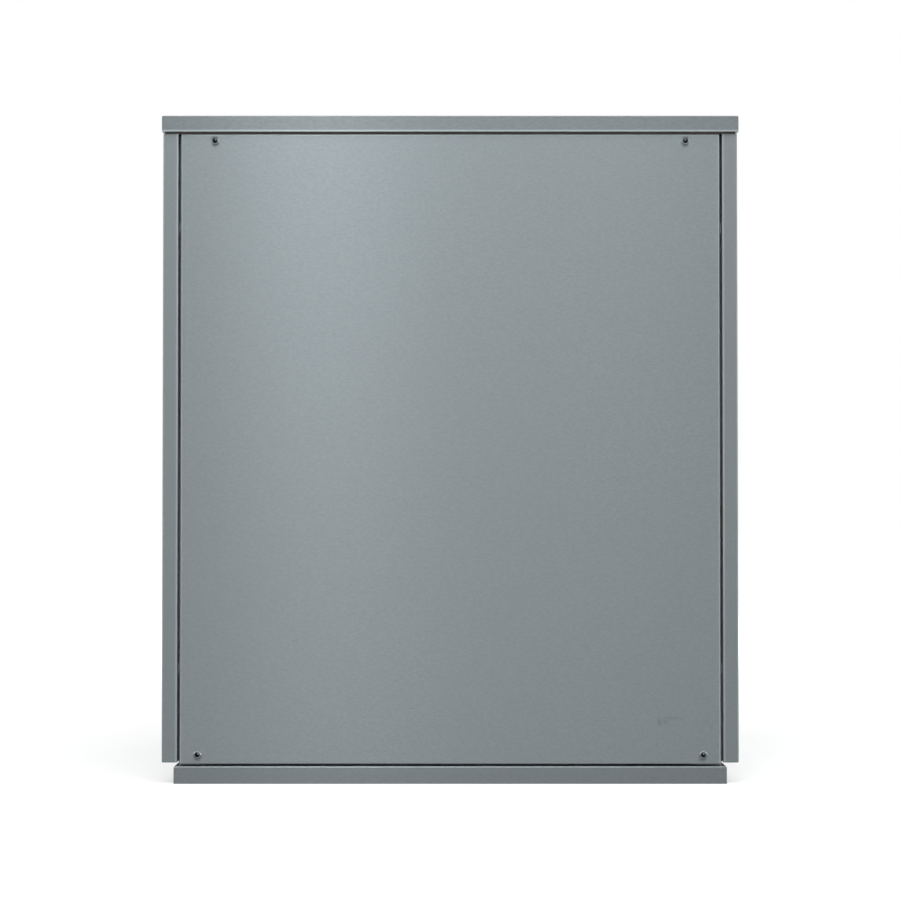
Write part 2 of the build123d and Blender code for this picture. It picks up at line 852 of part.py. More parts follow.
def splash_cover():
    """The flat cover that closes the front of the ice compartment."""
    cover = block((liner_left, liner_right), (liner_front - liner_wall, liner_front),
                  (plinth_height, liner_top))
    return fillet(cover.edges().filter_by(Axis.Y), splash_cover_corner)


def insulation():
    """The foam board behind the ice compartment."""
    y = (liner_rear, bulkhead_front)
    board = block((liner_left, liner_right), y, (plinth_height, liner_top))
    return board - port_holes(y)


def bulkhead():
    """The folded sheet between the ice compartment and the machine compartment."""
    x = around(0, frame_side - frame_sheet - seat)
    y = (bulkhead_front, bulkhead_rear)
    sheet = block(x, y, (plinth_height, liner_top))
    sheet += block(x, (y[0], y[1] + bulkhead_foot), (plinth_height, plinth_height + bulkhead_sheet))
    sheet -= rod_y(fill_x, (y[0] - skin, y[1] + skin), fill_z, fill_radius + 1.5)
    return sheet - port_holes((y[0], y[1] + bulkhead_foot))


def evaporator_grid():
    """The plate of square cells that the cubes freeze in."""
    plate = block((grid_left, grid_right), (grid_front, grid_rear), (grid_bottom, grid_top))
    half = (cell_pitch - cell_wall) / 2
    depth = (grid_front - cell_wall, grid_rear - grid_back)
    return plate - [block(around(grid_left + (column + 0.5) * cell_pitch, half), depth,
                          around(grid_bottom + (row + 0.5) * cell_pitch, half))
                    for column in range(cell_columns) for row in range(cell_rows)]


def evaporator_frame():
    """The plastic surround, with a sloped lip on top that feeds water to the cells."""
    frame = block((bar_left, bar_right), (bar_front, liner_back), (bar_bottom, bar_top))
    frame -= block((grid_left, grid_right), (bar_front - skin, liner_back + skin),
                   (grid_bottom, grid_top))
    lip_front = grid_front - grid_top_lip
    return frame + profile_x((bar_left, bar_right),
                             ((bar_front, bar_top), (lip_front, bar_top),
                              (lip_front, bar_top - lip_sheet),
                              (bar_front, bar_top - grid_top_bar / 2)))


def evaporator_coil():
    """The flattened refrigerant tube behind the cells: straight runs joined by half turns."""
    y = (coil_front, coil_rear)
    half, turn = coil_width / 2, coil_pitch / 2
    straight = (coil_left + turn, coil_right - turn)
    ring = rod_y(0, y, 0, turn + half) - rod_y(0, (y[0] - 1, y[1] + 1), 0, turn - half)
    coil = None
    for run in range(coil_runs):
        level = coil_low + run * coil_pitch
        last = run in (0, coil_runs - 1)
        piece = block((straight[0], coil_right - half if last else straight[1]), y, around(level, half))
        coil = piece if coil is None else coil + piece
        if run < coil_runs - 1:
            at = straight[run % 2]
            keep = (at - coil_pitch, at) if run % 2 == 0 else (at, at + coil_pitch)
            turned = Pos(at, 0, level + turn) * ring
            coil += turned & block(keep, (y[0] - 1, y[1] + 1), around(level + turn, coil_pitch))
    for level in (coil_low, coil_high):
        coil += rod_y(coil_port_x, (y[1] - 2 * skin, coil_port_rear), level, coil_port_radius)
    return coil


# Water system

def sump():
    """The moulded trough that catches the water under the evaporator, on two legs."""
    wall = sump_wall
    trough = block((sump_left, sump_right), (sump_front, sump_rear), (sump_bottom, sump_top))
    trough = fillet(trough.edges().filter_by(Axis.Z), sump_corner)
    inner = block((sump_left + wall, sump_right - wall), (sump_front + wall, sump_rear - wall),
                  (sump_floor, sump_top + wall))
    trough -= fillet(inner.edges().filter_by(Axis.Z), sump_corner - wall)
    leg_y = (sump_front + sump_corner, sump_rear - sump_corner)
    for x in (sump_left + sump_leg_inset, sump_right - sump_leg_inset):
        trough += block(around(x, sump_leg_width / 2), leg_y, (plinth_height, sump_bottom))
    return trough - rod_z(drain_x, sump_y, (sump_bottom - wall, sump_floor + wall),
                          standpipe_radius + shaft_clearance)


def standpipe():
    """The overflow pipe that keeps the water level and leads down to the drain."""
    z = (sump_bottom, sump_floor + standpipe_height)
    return rod_z(drain_x, sump_y, z, standpipe_radius) - rod_z(
        drain_x, sump_y, (z[0] - 1, z[1] + 1), standpipe_radius - standpipe_wall)


def drain_hose():
    """The hose from the standpipe along the deck to the rear outlet."""
    points = ((drain_x, sump_y, sump_bottom), (drain_x, sump_y, drain_z),
              (drain_x, drain_hose_end, drain_z))
    return tube(points, drain_bend, drain_radius) - tube(points, drain_bend,
                                                         drain_radius - drain_wall)


def ice_ramp():
    """A comb of slats that guides the falling ice over the sump, and lets water through."""
    x = (sump_left + sump_wall, bar_right)
    rear_y, rear_z = bar_front - seat, bar_bottom - ramp_drop
    front_y, front_z = sump_front, sump_top + ramp_thickness
    section = ((front_y, sump_top), (front_y, front_z), (rear_y, rear_z),
               (rear_y, rear_z - ramp_thickness), (front_y + ramp_bar, sump_top))
    count = int((x[1] - x[0] - ramp_slat) // ramp_pitch)
    ramp = block(x, (front_y, front_y + ramp_bar), (sump_top, sump_top + ramp_thickness))
    ramp += block(x, (rear_y - ramp_bar, rear_y), (rear_z - 2 * ramp_thickness, rear_z - ramp_bar / 4))
    return ramp + [profile_x((x[0] + i * ramp_pitch, x[0] + i * ramp_pitch + ramp_slat), section)
                   for i in range(count + 1)]


def water_distributor():
    """The closed tube that spreads water over the evaporator, with a row of spray holes."""
    x = (inner_left + seat, hose_x + distributor_radius + distributor_wall)
    wall = distributor_wall
    pipe = rod_x(x, distributor_y, distributor_z, distributor_radius)
    barb_top = distributor_z - distributor_radius + 2 * wall
    pipe += rod_z(hose_x, distributor_y, (hose_top, barb_top), hose_radius)
    pipe -= rod_x((x[0] + wall, x[1] - wall), distributor_y, distributor_z,
                  distributor_radius - wall)
    pipe -= rod_z(hose_x, distributor_y, (hose_top - 1, distributor_z), hose_radius - hose_wall)
    return pipe - [rod_y(grid_left + (2 * i + 1) * cell_pitch,
                         (distributor_y, distributor_y + 2 * distributor_radius), distributor_z,
                         spray_hole_radius) for i in range(cell_columns // 2)]


def supply_hose():
    """The hose from the pump's outlet up to the distributor."""
    shift = distributor_y - hose_y
    points = ((hose_x, hose_y, outlet_top), (hose_x, hose_y, hose_top - 3 * shift),
              (hose_x, distributor_y, hose_top - shift), (hose_x, distributor_y, hose_top))
    return tube(points, hose_bend, hose_radius) - tube(points, hose_bend, hose_radius - hose_wall)


def pump_motor():
    """The pump's motor, which stands on the pump's shelf."""
    z = (shelf_top, shelf_top + pump_motor_height)
    body = rod_z(pump_x, pump_y, z, pump_motor_radius)
    body = chamfer(body.faces().sort_by(Axis.Z)[-1].edges(), pump_motor_chamfer)
    return body - rod_z(pump_x, pump_y, (z[0] - 1, z[0] + pump_shaft_engagement + 2.0),
                        pump_shaft_radius + shaft_clearance)


def pump_housing():
    """One moulding: a shelf on the liner's wall, a column, and the volute with its outlet."""
    volute = rod_z(pump_x, pump_y, (volute_bottom, volute_top), volute_radius)
    outlet = rod_z(hose_x, hose_y, (volute_bottom, outlet_top), outlet_radius)
    neck = block((hose_x, pump_x), around(hose_y + outlet_radius / 2, outlet_radius / 2),
                 (volute_bottom, volute_top))
    neck += block(around(hose_x, outlet_radius), (hose_y, pump_y - outlet_radius),
                  (volute_bottom, volute_top))
    shelf_x = (pump_x - pump_motor_radius - 1.0, inner_right)
    shelf_y = around(pump_y, pump_motor_radius - 2.0)
    body = volute + outlet + neck
    body += rod_z(pump_x, pump_y, (volute_top, shelf_bottom), pump_column_radius)
    body += block(shelf_x, shelf_y, (shelf_bottom, shelf_top))
    body += block((inner_right - pump_shelf, inner_right), shelf_y,
                  (shelf_top - pump_shelf_flange, shelf_top))
    body -= rod_z(pump_x, pump_y, (volute_bottom + volute_wall, volute_top - volute_wall),
                  volute_radius - volute_wall)
    body -= rod_z(pump_x, pump_y, (volute_bottom - 1, volute_bottom + 2 * volute_wall),
                  volute_inlet_radius)
    body -= rod_z(hose_x, hose_y, (volute_bottom + volute_wall, outlet_top + 1),
                  hose_radius - hose_wall)
    return body - rod_z(pump_x, pump_y, (volute_top - 2 * volute_wall, shelf_top + 1),
                        pump_shaft_radius + shaft_clearance)


def pump_rotor():
    """The impeller with its shaft, which turns in the column and the motor."""
    low = (volute_bottom + volute_top - impeller_height) / 2
    high = low + impeller_height
    rotor = rod_z(0, 0, (high - impeller_disc, high), impeller_radius)
    rotor += rod_z(0, 0, (low, high), 2 * pump_shaft_radius)
    vane = block((pump_shaft_radius, impeller_radius - 1.0), around(0, vane_thickness / 2),
                 (low, high - impeller_disc / 2))
    rotor += [Rot(0, 0, i * 360 / impeller_vanes) * vane for i in range(impeller_vanes)]
    rotor += rod_z(0, 0, (low, shelf_top + pump_shaft_engagement), pump_shaft_radius)
    return Pos(pump_x, pump_y, 0) * rotor


def float_stem():
    """The upright that guides the level float, with a stop at its top."""
    stop = sump_floor + seat + float_height + float_travel + 1.0
    stem = rod_z(float_x, sump_y, (sump_floor, stop + float_stop_height), float_stem_radius)
    return stem + rod_z(float_x, sump_y, (stop, stop + float_stop_height), 2 * float_stem_radius)


def level_float():
    """The float that slides on the stem."""
    z = (sump_floor + seat, sump_floor + seat + float_height)
    body = rod_z(float_x, sump_y, z, float_radius)
    body = chamfer(body.edges().filter_by(GeomType.CIRCLE), 2.0)
    return body - rod_z(float_x, sump_y, (z[0] - 1, z[1] + 1), float_stem_radius + seat)


def fill_tube():
    """The tube from the inlet valve along the left side to the sump."""
    side_start = inlet_valve_front - (inlet_x - fill_x)
    points = ((inlet_x, inlet_valve_front, inlet_height),
              (inlet_x, inlet_valve_front - fill_bend, inlet_height),
              (fill_x, side_start - fill_bend, inlet_height),
              (fill_x, bulkhead_rear + fill_rise * 0.7, inlet_height),
              (fill_x, bulkhead_rear + fill_bend, fill_z),
              (fill_x, fill_y, fill_z),
              (sump_left + sump_wall + 2 * fill_radius, fill_y, fill_z))
    return tube(points, [fill_bend] * (len(points) - 3) + [fill_end_bend], fill_radius)


# Splash curtain

def splash_curtain():
    """The sheet that hangs in front of the evaporator and swings out when the ice falls."""
    x = (curtain_left, curtain_right)
    sheet = block(x, around(curtain_y, curtain_thickness / 2), (curtain_bottom, curtain_z))
    for edge in ((x[0], x[0] + curtain_thickness), (x[1] - curtain_thickness, x[1])):
        sheet += block(edge, (curtain_y, curtain_y + curtain_hem),
                       (curtain_bottom, bar_top - grid_top_bar))
    sheet += rod_x(x, curtain_y, curtain_z, curtain_boss_radius)
    return sheet + rod_x((x[0] - curtain_pin_length, x[1] + curtain_pin_length), curtain_y,
                         curtain_z, curtain_pin_radius)


# Compressor, condenser and fan

def compressor_bolt_places():
    """The four corners of the compressor's foot plate."""
    inset = grommet_radius + frame_gap
    return [(compressor_x + i * (compressor_foot_width / 2 - inset),
             compressor_y + j * (compressor_foot_depth / 2 - inset))
            for i in (-1, 1) for j in (-1, 1)]


def compressor():
    """The welded hermetic shell on its foot plate, with suction and discharge stubs."""
    r, dome, low = compressor_radius, compressor_dome, foot_top
    outline = Polyline((0, compressor_top), (0, low), (r * 0.7, low), (r, low + dome / 2),
                       (r, compressor_top - dome), (r * 0.93, compressor_top - dome * 0.5),
                       (r * 0.72, compressor_top - dome * 0.2), (r * 0.4, compressor_top), close=True)
    body = revolve(Plane.XZ * make_face(outline), Axis.Z)
    belt = low + compressor_body_height / 2
    body += rod_z(0, 0, (belt, belt + compressor_belt_height), r + compressor_belt)
    foot = block(around(0, compressor_foot_width / 2), around(0, compressor_foot_depth / 2),
                 (foot_bottom, foot_top))
    body += fillet(foot.edges().filter_by(Axis.Z), compressor_foot_corner)
    body += rod_x((0, suction_stub - compressor_x), 0, suction_z, suction_radius)
    body += rod_z(0, 0, (compressor_top - dome, discharge_stub), discharge_radius)
    return Pos(compressor_x, compressor_y, 0) * body - [
        rod_z(x, y, (foot_bottom - 1, foot_top + 1), compressor_bolt_radius + hole_clearance)
        for x, y in compressor_bolt_places()]


def terminal_cover():
    """The plastic cover over the compressor's terminals, shaped to the shell."""
    face = compressor_y - compressor_radius - terminal_depth
    low = foot_top + compressor_dome
    cover = block(around(compressor_x, terminal_width / 2),
                  (face, compressor_y - compressor_radius * 0.8), (low, low + terminal_height))
    cover = rounded(cover, "-Y", 3.0)
    return cover - rod_z(compressor_x, compressor_y, (low - 1, low + terminal_height + 1),
                         compressor_radius + seat)


def grommet(x, y):
    """A rubber mount under the foot plate."""
    return rod_z(x, y, (plinth_height, foot_bottom), grommet_radius) - rod_z(
        x, y, (plinth_height - 1, foot_bottom + 1), compressor_bolt_radius + hole_clearance)


def compressor_bolt(x, y):
    """A bolt that holds the compressor down to the deck."""
    head = extrude(Pos(x, y, foot_top) * RegularPolygon(bolt_head_radius, 6), bolt_head_height)
    return head + rod_z(x, y, (plinth_height - 3 * base_sheet, foot_top), compressor_bolt_radius)


def condenser():
    """The block of fins between two end plates that stand on the deck, with two tube stubs."""
    x = (condenser_left + condenser_plate, condenser_right - condenser_plate)
    y = (condenser_front, condenser_rear)
    core = block(x, y, (condenser_bottom, condenser_top))
    count = int((x[1] - x[0] - fin_groove) // fin_pitch)
    starts = [x[0] + fin_groove + i * fin_pitch for i in range(count)]
    core -= [block((start, start + fin_groove), side, (condenser_bottom - 1, condenser_top + 1))
             for start in starts
             for side in ((y[0] - 1, y[0] + groove_depth), (y[1] - groove_depth, y[1] + 1))]
    for outer, inward in ((condenser_left, 1), (condenser_right, -1)):
        core += block(span(outer, outer + inward * condenser_plate), y, (plinth_height, condenser_top))
        core += block(span(outer, outer + inward * condenser_flange), y,
                      (plinth_height, plinth_height + condenser_plate))
    core += rod_x((condenser_left - port_reach, x[0] + 1), condenser_y, condenser_inlet_z,
                  discharge_radius)
    return core + rod_z(condenser_outlet_x, condenser_y,
                        (condenser_bottom - port_reach, condenser_bottom + 1), liquid_radius)


def fan_shroud():
    """The box that leads air from the condenser to the fan, with a short ring at its opening."""
    shroud = pan((condenser_left, condenser_right), (condenser_rear, shroud_rear),
                 (condenser_bottom, condenser_top), "+Y", shroud_sheet)
    y = (shroud_rear - fan_ring_depth / 2, fan_rear)
    shroud += rod_y(fan_x, y, fan_z, fan_opening_radius + shroud_sheet)
    return shroud - rod_y(fan_x, (y[0] - 1, y[1] + 1), fan_z, fan_opening_radius)


def fan_blade():
    """One cambered blade at the top of the fan, with its tip corners rounded."""
    tip, root = fan_opening_radius - fan_tip_gap, fan_hub_radius - 2.0
    half = radians(fan_blade_spread_deg / 2)
    far = 2 * tip
    wedge = make_face(Polyline((0, 0), (-far * sin(half), far * cos(half)),
                               (far * sin(half), far * cos(half)), close=True))
    petal = (Circle(tip) - Circle(root)) & wedge
    petal = fillet(petal.vertices().sort_by(Axis.Y)[-2:], fan_blade_corner)
    hollow, length = fan_blade_camber, 3 * tip
    shell = Cylinder(hollow + fan_blade_sheet, length) - Cylinder(hollow, length)
    sheet = Rot(0, 0, fan_blade_pitch_deg) * Pos(0, -hollow - fan_blade_sheet / 2, 0) * shell
    return extrude(Plane.XZ * petal, hollow / 2, both=True) & sheet


def fan_rotor():
    """The fan: a hub, its blades, and the motor's shaft."""
    y = (fan_rear - fan_hub_depth, fan_rear)
    fan = rounded(rod_y(0, y, 0, fan_hub_radius), "-Y", 4.0)
    blade = Pos(0, (y[0] + y[1]) / 2 + fan_blade_setback, 0) * fan_blade()
    fan += [Rot(0, i * 360 / fan_blades, 0) * blade for i in range(fan_blades)]
    fan += rod_y(0, (y[1] - 1, motor_front + fan_shaft_engagement), 0, fan_shaft_radius)
    return Pos(fan_x, 0, fan_z) * fan


def fan_motor():
    """The fan's motor, bored for the shaft."""
    y = (motor_front, motor_front + motor_depth)
    body = chamfer(rod_y(fan_x, y, fan_z, motor_radius).edges().filter_by(GeomType.CIRCLE), 4.0)
    return body - rod_y(fan_x, (y[0] - 1, y[0] + fan_shaft_engagement + 2.0), fan_z,
                        fan_shaft_radius + shaft_clearance)


def motor_bracket():
    """A band round the motor with arms that reach the shroud."""
    y = around(motor_front + motor_depth / 2, motor_arm_width / 2)
    sheet = motor_arm_sheet
    end = fan_opening_radius + shroud_sheet + motor_arm_spread
    arm = block(around(0, motor_arm_width / 2), (y[0], y[0] + sheet), (motor_radius + 1.0, end + sheet))
    arm += block(around(0, motor_arm_width / 2), (shroud_rear, y[0] + sheet), (end, end + sheet))
    bracket = rod_y(0, y, 0, motor_radius + seat + sheet)
    bracket += [Rot(0, (i + 0.5) * 360 / motor_arms, 0) * arm for i in range(motor_arms)]
    bracket -= rod_y(0, (y[0] - 1, y[1] + 1), 0, motor_radius + seat)
    return Pos(fan_x, 0, fan_z) * bracket


# Refrigerant circuit

def suction_line():
    """The pipe from the evaporator's low port back to the compressor."""
    turn_y = coil_port_rear + 2 * suction_bend
    points = ((coil_port_x, coil_port_rear, coil_low), (coil_port_x, turn_y, coil_low),
              (suction_x, turn_y, suction_z), (suction_x, compressor_y, suction_z),
              (suction_stub, compressor_y, suction_z))
    return tube(points, suction_bend, suction_radius)


def discharge_line():
    """The pipe from the compressor to the condenser, with the branch to the hot gas valve."""
    points = ((compressor_x, compressor_y, discharge_stub),
              (compressor_x, compressor_y, condenser_inlet_z),
              (condenser_left - port_reach, compressor_y, condenser_inlet_z))
    branch = rod_y(discharge_x, (hot_valve_rear, compressor_y), condenser_inlet_z, hot_gas_radius)
    return tube(points, pipe_bend, discharge_radius) + branch


def hot_gas_line():
    """The pipe from the hot gas valve to the tee at the evaporator's high port."""
    points = ((discharge_x, hot_valve_front, condenser_inlet_z), (discharge_x, tee_y, condenser_inlet_z),
              (coil_port_x, tee_y, condenser_inlet_z), (coil_port_x, tee_y, coil_high - tee_size / 2))
    return tube(points, pipe_bend, hot_gas_radius)


def liquid_lines():
    """The pipes from the condenser through the drier to the expansion valve."""
    to_drier = ((condenser_outlet_x, condenser_y, condenser_bottom - port_reach),
                (condenser_outlet_x, condenser_y, drier_height),
                (drier_left, condenser_y, drier_height))
    to_valve = ((drier_right, condenser_y, drier_height), (liquid_x, condenser_y, drier_height),
                (liquid_x, valve_y, drier_height), (liquid_x, valve_y, coil_high),
                (coil_port_x + valve_radius, valve_y, coil_high))
    return [tube(points, pipe_bend, liquid_radius) for points in (to_drier, to_valve)]


def filter_drier():
    """The drier: a barrel drawn down to the pipe at both ends."""
    r, neck, x = drier_radius, liquid_radius + 2.0, drier_length
    outline = Polyline((0, 0), (neck, 0), (neck, 8.0), (r, 20.0), (r, x - 20.0), (neck, x - 8.0),
                       (neck, x), (0, x), close=True)
    barrel = revolve(Plane.XZ * make_face(outline), Axis.Z)
    return Pos(drier_left, condenser_y, drier_height) * Rot(0, 90, 0) * barrel


def expansion_valve():
    """The valve at the evaporator's high port, with the tee that the hot gas enters."""
    half, top = tee_size / 2, coil_high + valve_height / 2
    body = block(around(coil_port_x, half), (coil_port_rear, coil_port_rear + tee_size),
                 around(coil_high, half))
    body += block(around(coil_port_x, half / 2), (tee_y, valve_y), around(coil_high, half / 2))
    body += rod_z(coil_port_x, valve_y, around(coil_high, valve_height / 2), valve_radius)
    body += rod_z(coil_port_x, valve_y, (top, top + 5.0), 1.6 * valve_radius)
    return body + rod_x((coil_port_x, coil_port_x + valve_radius), valve_y, coil_high, 2 * liquid_radius)


def hot_gas_valve():
    """A brass body in the hot gas branch, with its coil above."""
    middle, half = (hot_valve_front + hot_valve_rear) / 2, tee_size / 2
    top = condenser_inlet_z + half
    body = block(around(discharge_x, half), (hot_valve_front, hot_valve_rear),
                 around(condenser_inlet_z, half))
    coil = block(around(discharge_x, solenoid_size / 2), around(middle, solenoid_size / 2),
                 (top + 3.0, top + 3.0 + solenoid_height))
    coil = fillet(coil.edges().filter_by(Axis.Z), 4.0)
    return body + coil + rod_z(discharge_x, middle, (condenser_inlet_z, top + solenoid_height + 6.0), 5.0)


# Electrical box

def electrical_box():
    """The folded box beside the ice compartment, open at the front, fixed to the bulkhead."""
    x, y, z = (box_left, box_right), (box_front, bulkhead_front), (box_bottom, box_top)
    sheet = box_sheet
    box = block(x, y, z) - block((x[0] + sheet, x[1] - sheet), (y[0] - sheet, y[1] - sheet),
                                 (z[0] + sheet, z[1] - sheet))
    for low, high in ((z[0], z[0] + sheet + box_lug), (z[1] - sheet - box_lug, z[1])):
        box += block(around(switch_x, box_lug / 2), (y[0], y[0] + sheet), (low, high))
    box -= rod_z(switch_x, (y[0] + y[1]) / 2, (z[0] - 1, z[0] + 2 * sheet), wire_hole_radius)
    return box - [screw_hole(sx, sz, (y[0], y[0] + sheet), thread_clearance) for sx, sz in box_screws]


def electrical_box_cover():
    """The flat cover, with an opening for the rocker switch and one for the button."""
    y = (cover_face, box_front)
    cover = block((box_left, box_right), y, (box_bottom, box_top))
    half_x, half_z = rocker_pocket[0] + switch_border / 2, rocker_pocket[1] + switch_border / 2
    through = (y[0] - 1, y[1] + 1)
    cover -= block(around(switch_x, half_x + seat), through, around(rocker_z, half_z + seat))
    cover -= rod_y(switch_x, through, button_z, button_radius + switch_border / 2 + seat)
    return cover - [screw_hole(sx, sz, y, hole_clearance) for sx, sz in box_screws]


def control_board():
    """The board on its four standoffs, with a row of relays and a terminal strip."""
    x = box_left + box_sheet + standoff_height
    y = (box_front + 2 * board_margin, bulkhead_front - board_margin)
    z = (box_bottom + capacitor_height + board_margin, box_top - board_margin)
    board = block((x, x + board_thickness), y, z)
    for py in (y[0] + 2 * standoff_radius, y[1] - 2 * standoff_radius):
        for pz in (z[0] + 2 * standoff_radius, z[1] - 2 * standoff_radius):
            board += rod_x((x - standoff_height, x), py, pz, standoff_radius)
    top = x + board_thickness
    pitch = (y[1] - y[0] - 2 * board_margin) / relay_count
    for i in range(relay_count):
        start = y[0] + board_margin + i * pitch
        board += block((top, top + relay_height), (start, start + relay_size),
                       (z[1] - board_margin - relay_size, z[1] - board_margin))
    return board + block((top, top + relay_height / 2), (y[0] + board_margin, y[1] - board_margin),
                         (z[0] + board_margin, z[0] + 2 * board_margin))


def run_capacitor():
    """The compressor's capacitor, which stands on the floor of the box."""
    z = (box_bottom + box_sheet, box_bottom + box_sheet + capacitor_height)
    place = (switch_x, bulkhead_front - box_sheet - capacitor_margin - capacitor_radius)
    can = rod_z(*place, z, capacitor_radius)
    return can + rod_z(*place, (z[1], z[1] + 4.0), capacitor_radius / 3)


def rocker_housing():
    """The switch's frame in the cover, with a pocket that the rocker turns in."""
    half_x, half_z = rocker_pocket
    axis_y = cover_face - 1.0
    inner, outer = switch_border / 2, switch_border
    rim = block(around(switch_x, half_x + outer), (cover_face - switch_rim, cover_face),
                around(rocker_z, half_z + outer))
    rim = chamfer(rim.faces().sort_by(Axis.Y)[0].edges(), 0.8)
    body = block(around(switch_x, half_x + inner), (cover_face, cover_face + switch_body_depth),
                 around(rocker_z, half_z + inner))
    pocket = block(around(switch_x, half_x), (cover_face - 2 * switch_rim, cover_face + switch_rim + 2.0),
                   around(rocker_z, half_z))
    pins = rod_x(around(switch_x, rocker_width / 2 + rocker_pin_length + seat), axis_y, rocker_z,
                 rocker_pin_radius + shaft_clearance)
    return rim + body - pocket - pins


def power_rocker():
    """The rocker, tilted to its off position, with a short pin on each side."""
    half, waist = rocker_height / 2, rocker_height / 4
    key = profile_x(around(0, rocker_width / 2),
                    ((-waist, -half), (-0.6 * waist, 0), (-waist, half), (0.2 * waist, half),
                     (0.5 * waist, 0), (0.2 * waist, -half)))
    key += rod_x(around(0, rocker_width / 2 + rocker_pin_length), 0, 0, rocker_pin_radius)
    return Pos(switch_x, cover_face - 1.0, rocker_z) * Rot(rocker_tilt_deg, 0, 0) * key


def button_housing():
    """The bush in the cover that the wash button slides in, closed at its inner end."""
    inner, outer = button_radius + switch_border / 2, button_radius + switch_border
    rim = rod_y(switch_x, (cover_face - switch_rim, cover_face), button_z, outer)
    floor = cover_face + button_reach + button_travel + 1.0
    bush = rim + rod_y(switch_x, (cover_face, floor + 2.0), button_z, inner)
    return bush - rod_y(switch_x, (cover_face - 2 * switch_rim, floor), button_z,
                        button_radius + shaft_clearance)


def wash_button():
    """The button, which is pressed in to start a wash."""
    y = (cover_face - button_reach, cover_face + button_reach)
    button = rod_y(switch_x, y, button_z, button_radius)
    return chamfer(button.faces().sort_by(Axis.Y)[0].edges(), 1.0)


# Rear connections

def thread_relief(x, z, radius):
    """A cutter for the plain neck that keeps a stub's thread clear of the service panel."""
    y = (nut_face, skin_rear + relief_length)
    return rod_y(x, y, z, radius + 1) - rod_y(x, (y[0] - 1, y[1] + 1), z, radius - relief_depth)


def water_inlet_valve():
    """The valve behind the service panel: a threaded stub, a flange, a body and its coil."""
    body_y = (inlet_valve_front, nut_face - nut_plate)
    half = inlet_valve_size / 2
    valve = rod_y(inlet_x, (nut_face, connections_rear), inlet_height, inlet_radius)
    valve -= thread_relief(inlet_x, inlet_height, inlet_radius)
    valve += rod_y(inlet_x, (nut_face - nut_plate, nut_face), inlet_height, nut_plate_radius)
    valve += block(around(inlet_x, half), body_y, around(inlet_height, half))
    valve += block(around(inlet_x, solenoid_size / 2), (body_y[0] + 1.0, body_y[1] - 1.0),
                   (inlet_height + half, inlet_height + half + solenoid_height))
    return valve - rod_y(inlet_x, (connections_rear - inlet_bore_depth, connections_rear + 1),
                         inlet_height, inlet_bore_radius)


def drain_outlet():
    """The drain fitting: a stub through the service panel, a flange and a spigot for the hose."""
    fitting = rod_y(drain_x, (nut_face, connections_rear), drain_z, drain_outlet_radius)
    fitting -= thread_relief(drain_x, drain_z, drain_outlet_radius)
    fitting += rod_y(drain_x, (nut_face - nut_plate, nut_face), drain_z, nut_plate_radius)
    fitting += rod_y(drain_x, (drain_hose_end, nut_face - nut_plate), drain_z, drain_radius)
    return fitting - rod_y(drain_x, (drain_hose_end - 1, connections_rear + 1), drain_z,
                           drain_outlet_bore)


def cable_gland():
    """The gland for the mains cable: a nut inside the panel and a domed cap outside."""
    gland = rod_y(gland_x, (nut_face - nut_plate, skin_rear + gland_length), gland_height, gland_radius)
    hexagon = Plane.XZ * Pos(gland_x, gland_height) * RegularPolygon(gland_radius * 1.35, 6)
    gland += Pos(0, nut_face, 0) * extrude(hexagon, nut_plate)
    gland += Pos(0, skin_rear + nut_plate, 0) * extrude(hexagon, nut_plate)
    gland = chamfer(gland.faces().sort_by(Axis.Y)[-1].edges(), 3.0)
    return gland - rod_y(gland_x, (nut_face - 2 * nut_plate, skin_rear + 2 * gland_length),
                         gland_height, gland_bore_radius)


os.makedirs("parts", exist_ok=True)
corners = [(side, end) for side in (-1, 1) for end in (-1, 1)]
right_side = side_panel()

save("base_tray", base_tray())
save("ice_chute_collar", ice_chute_collar())
save("lid", lid())
save("lid_seal", lid_seal())
save("front_panel", front_panel())
save("front_screws",
     *[cross_screw(x, z, skin_front, 1) for x, z, _ in front_screws],
     *[cross_screw(x, z, cover_face, 1) for x, z in box_screws])
save("side_panel_right", right_side)
save("side_panel_left", mirror(right_side, Plane.YZ))
save("rear_cover", rear_cover())
save("rear_service_panel", rear_service_panel())
save("rear_screws",
     *[hex_screw(x, z, skin_rear) for x, z, _ in cover_screws + service_screws],
     *[hex_screw(x, z, skin_rear) for x, z in side_screws],
     *[hex_screw(x, z, rear) for x, z in lid_screws])
save("panel_brackets",
     *[panel_bracket(x, z, skin_front, frame_front, up) for x, z, up in front_screws],
     *[panel_bracket(x, z, skin_rear, frame_rear, up) for x, z, up in cover_screws + service_screws],
     *[side_bracket(side, z, end) for side, end in corners for z in side_screw_levels],
     *[lid_bracket(x) for x, _ in lid_screws])
save("corner_posts", *[corner_post(side, end) for side, end in corners])
save("top_rails", side_rail(-1), side_rail(1), crossbar(frame_front, 1), crossbar(frame_rear, -1))

save("ice_compartment_liner", ice_compartment_liner())
save("splash_cover", splash_cover())
save("insulation", insulation())
save("bulkhead", bulkhead())
save("evaporator_grid", evaporator_grid())
save("evaporator_frame", evaporator_frame())
save("evaporator_coil", evaporator_coil())
save("splash_curtain", splash_curtain())
save("ice_ramp", ice_ramp())

save("sump", sump())
save("standpipe", standpipe())
save("drain_hose", drain_hose())
save("water_distributor", water_distributor())
save("supply_hose", supply_hose())
save("pump_motor", pump_motor())
save("pump_housing", pump_housing())
save("pump_rotor", pump_rotor())
save("float_stem", float_stem())
save("level_float", level_float())
save("fill_tube", fill_tube())

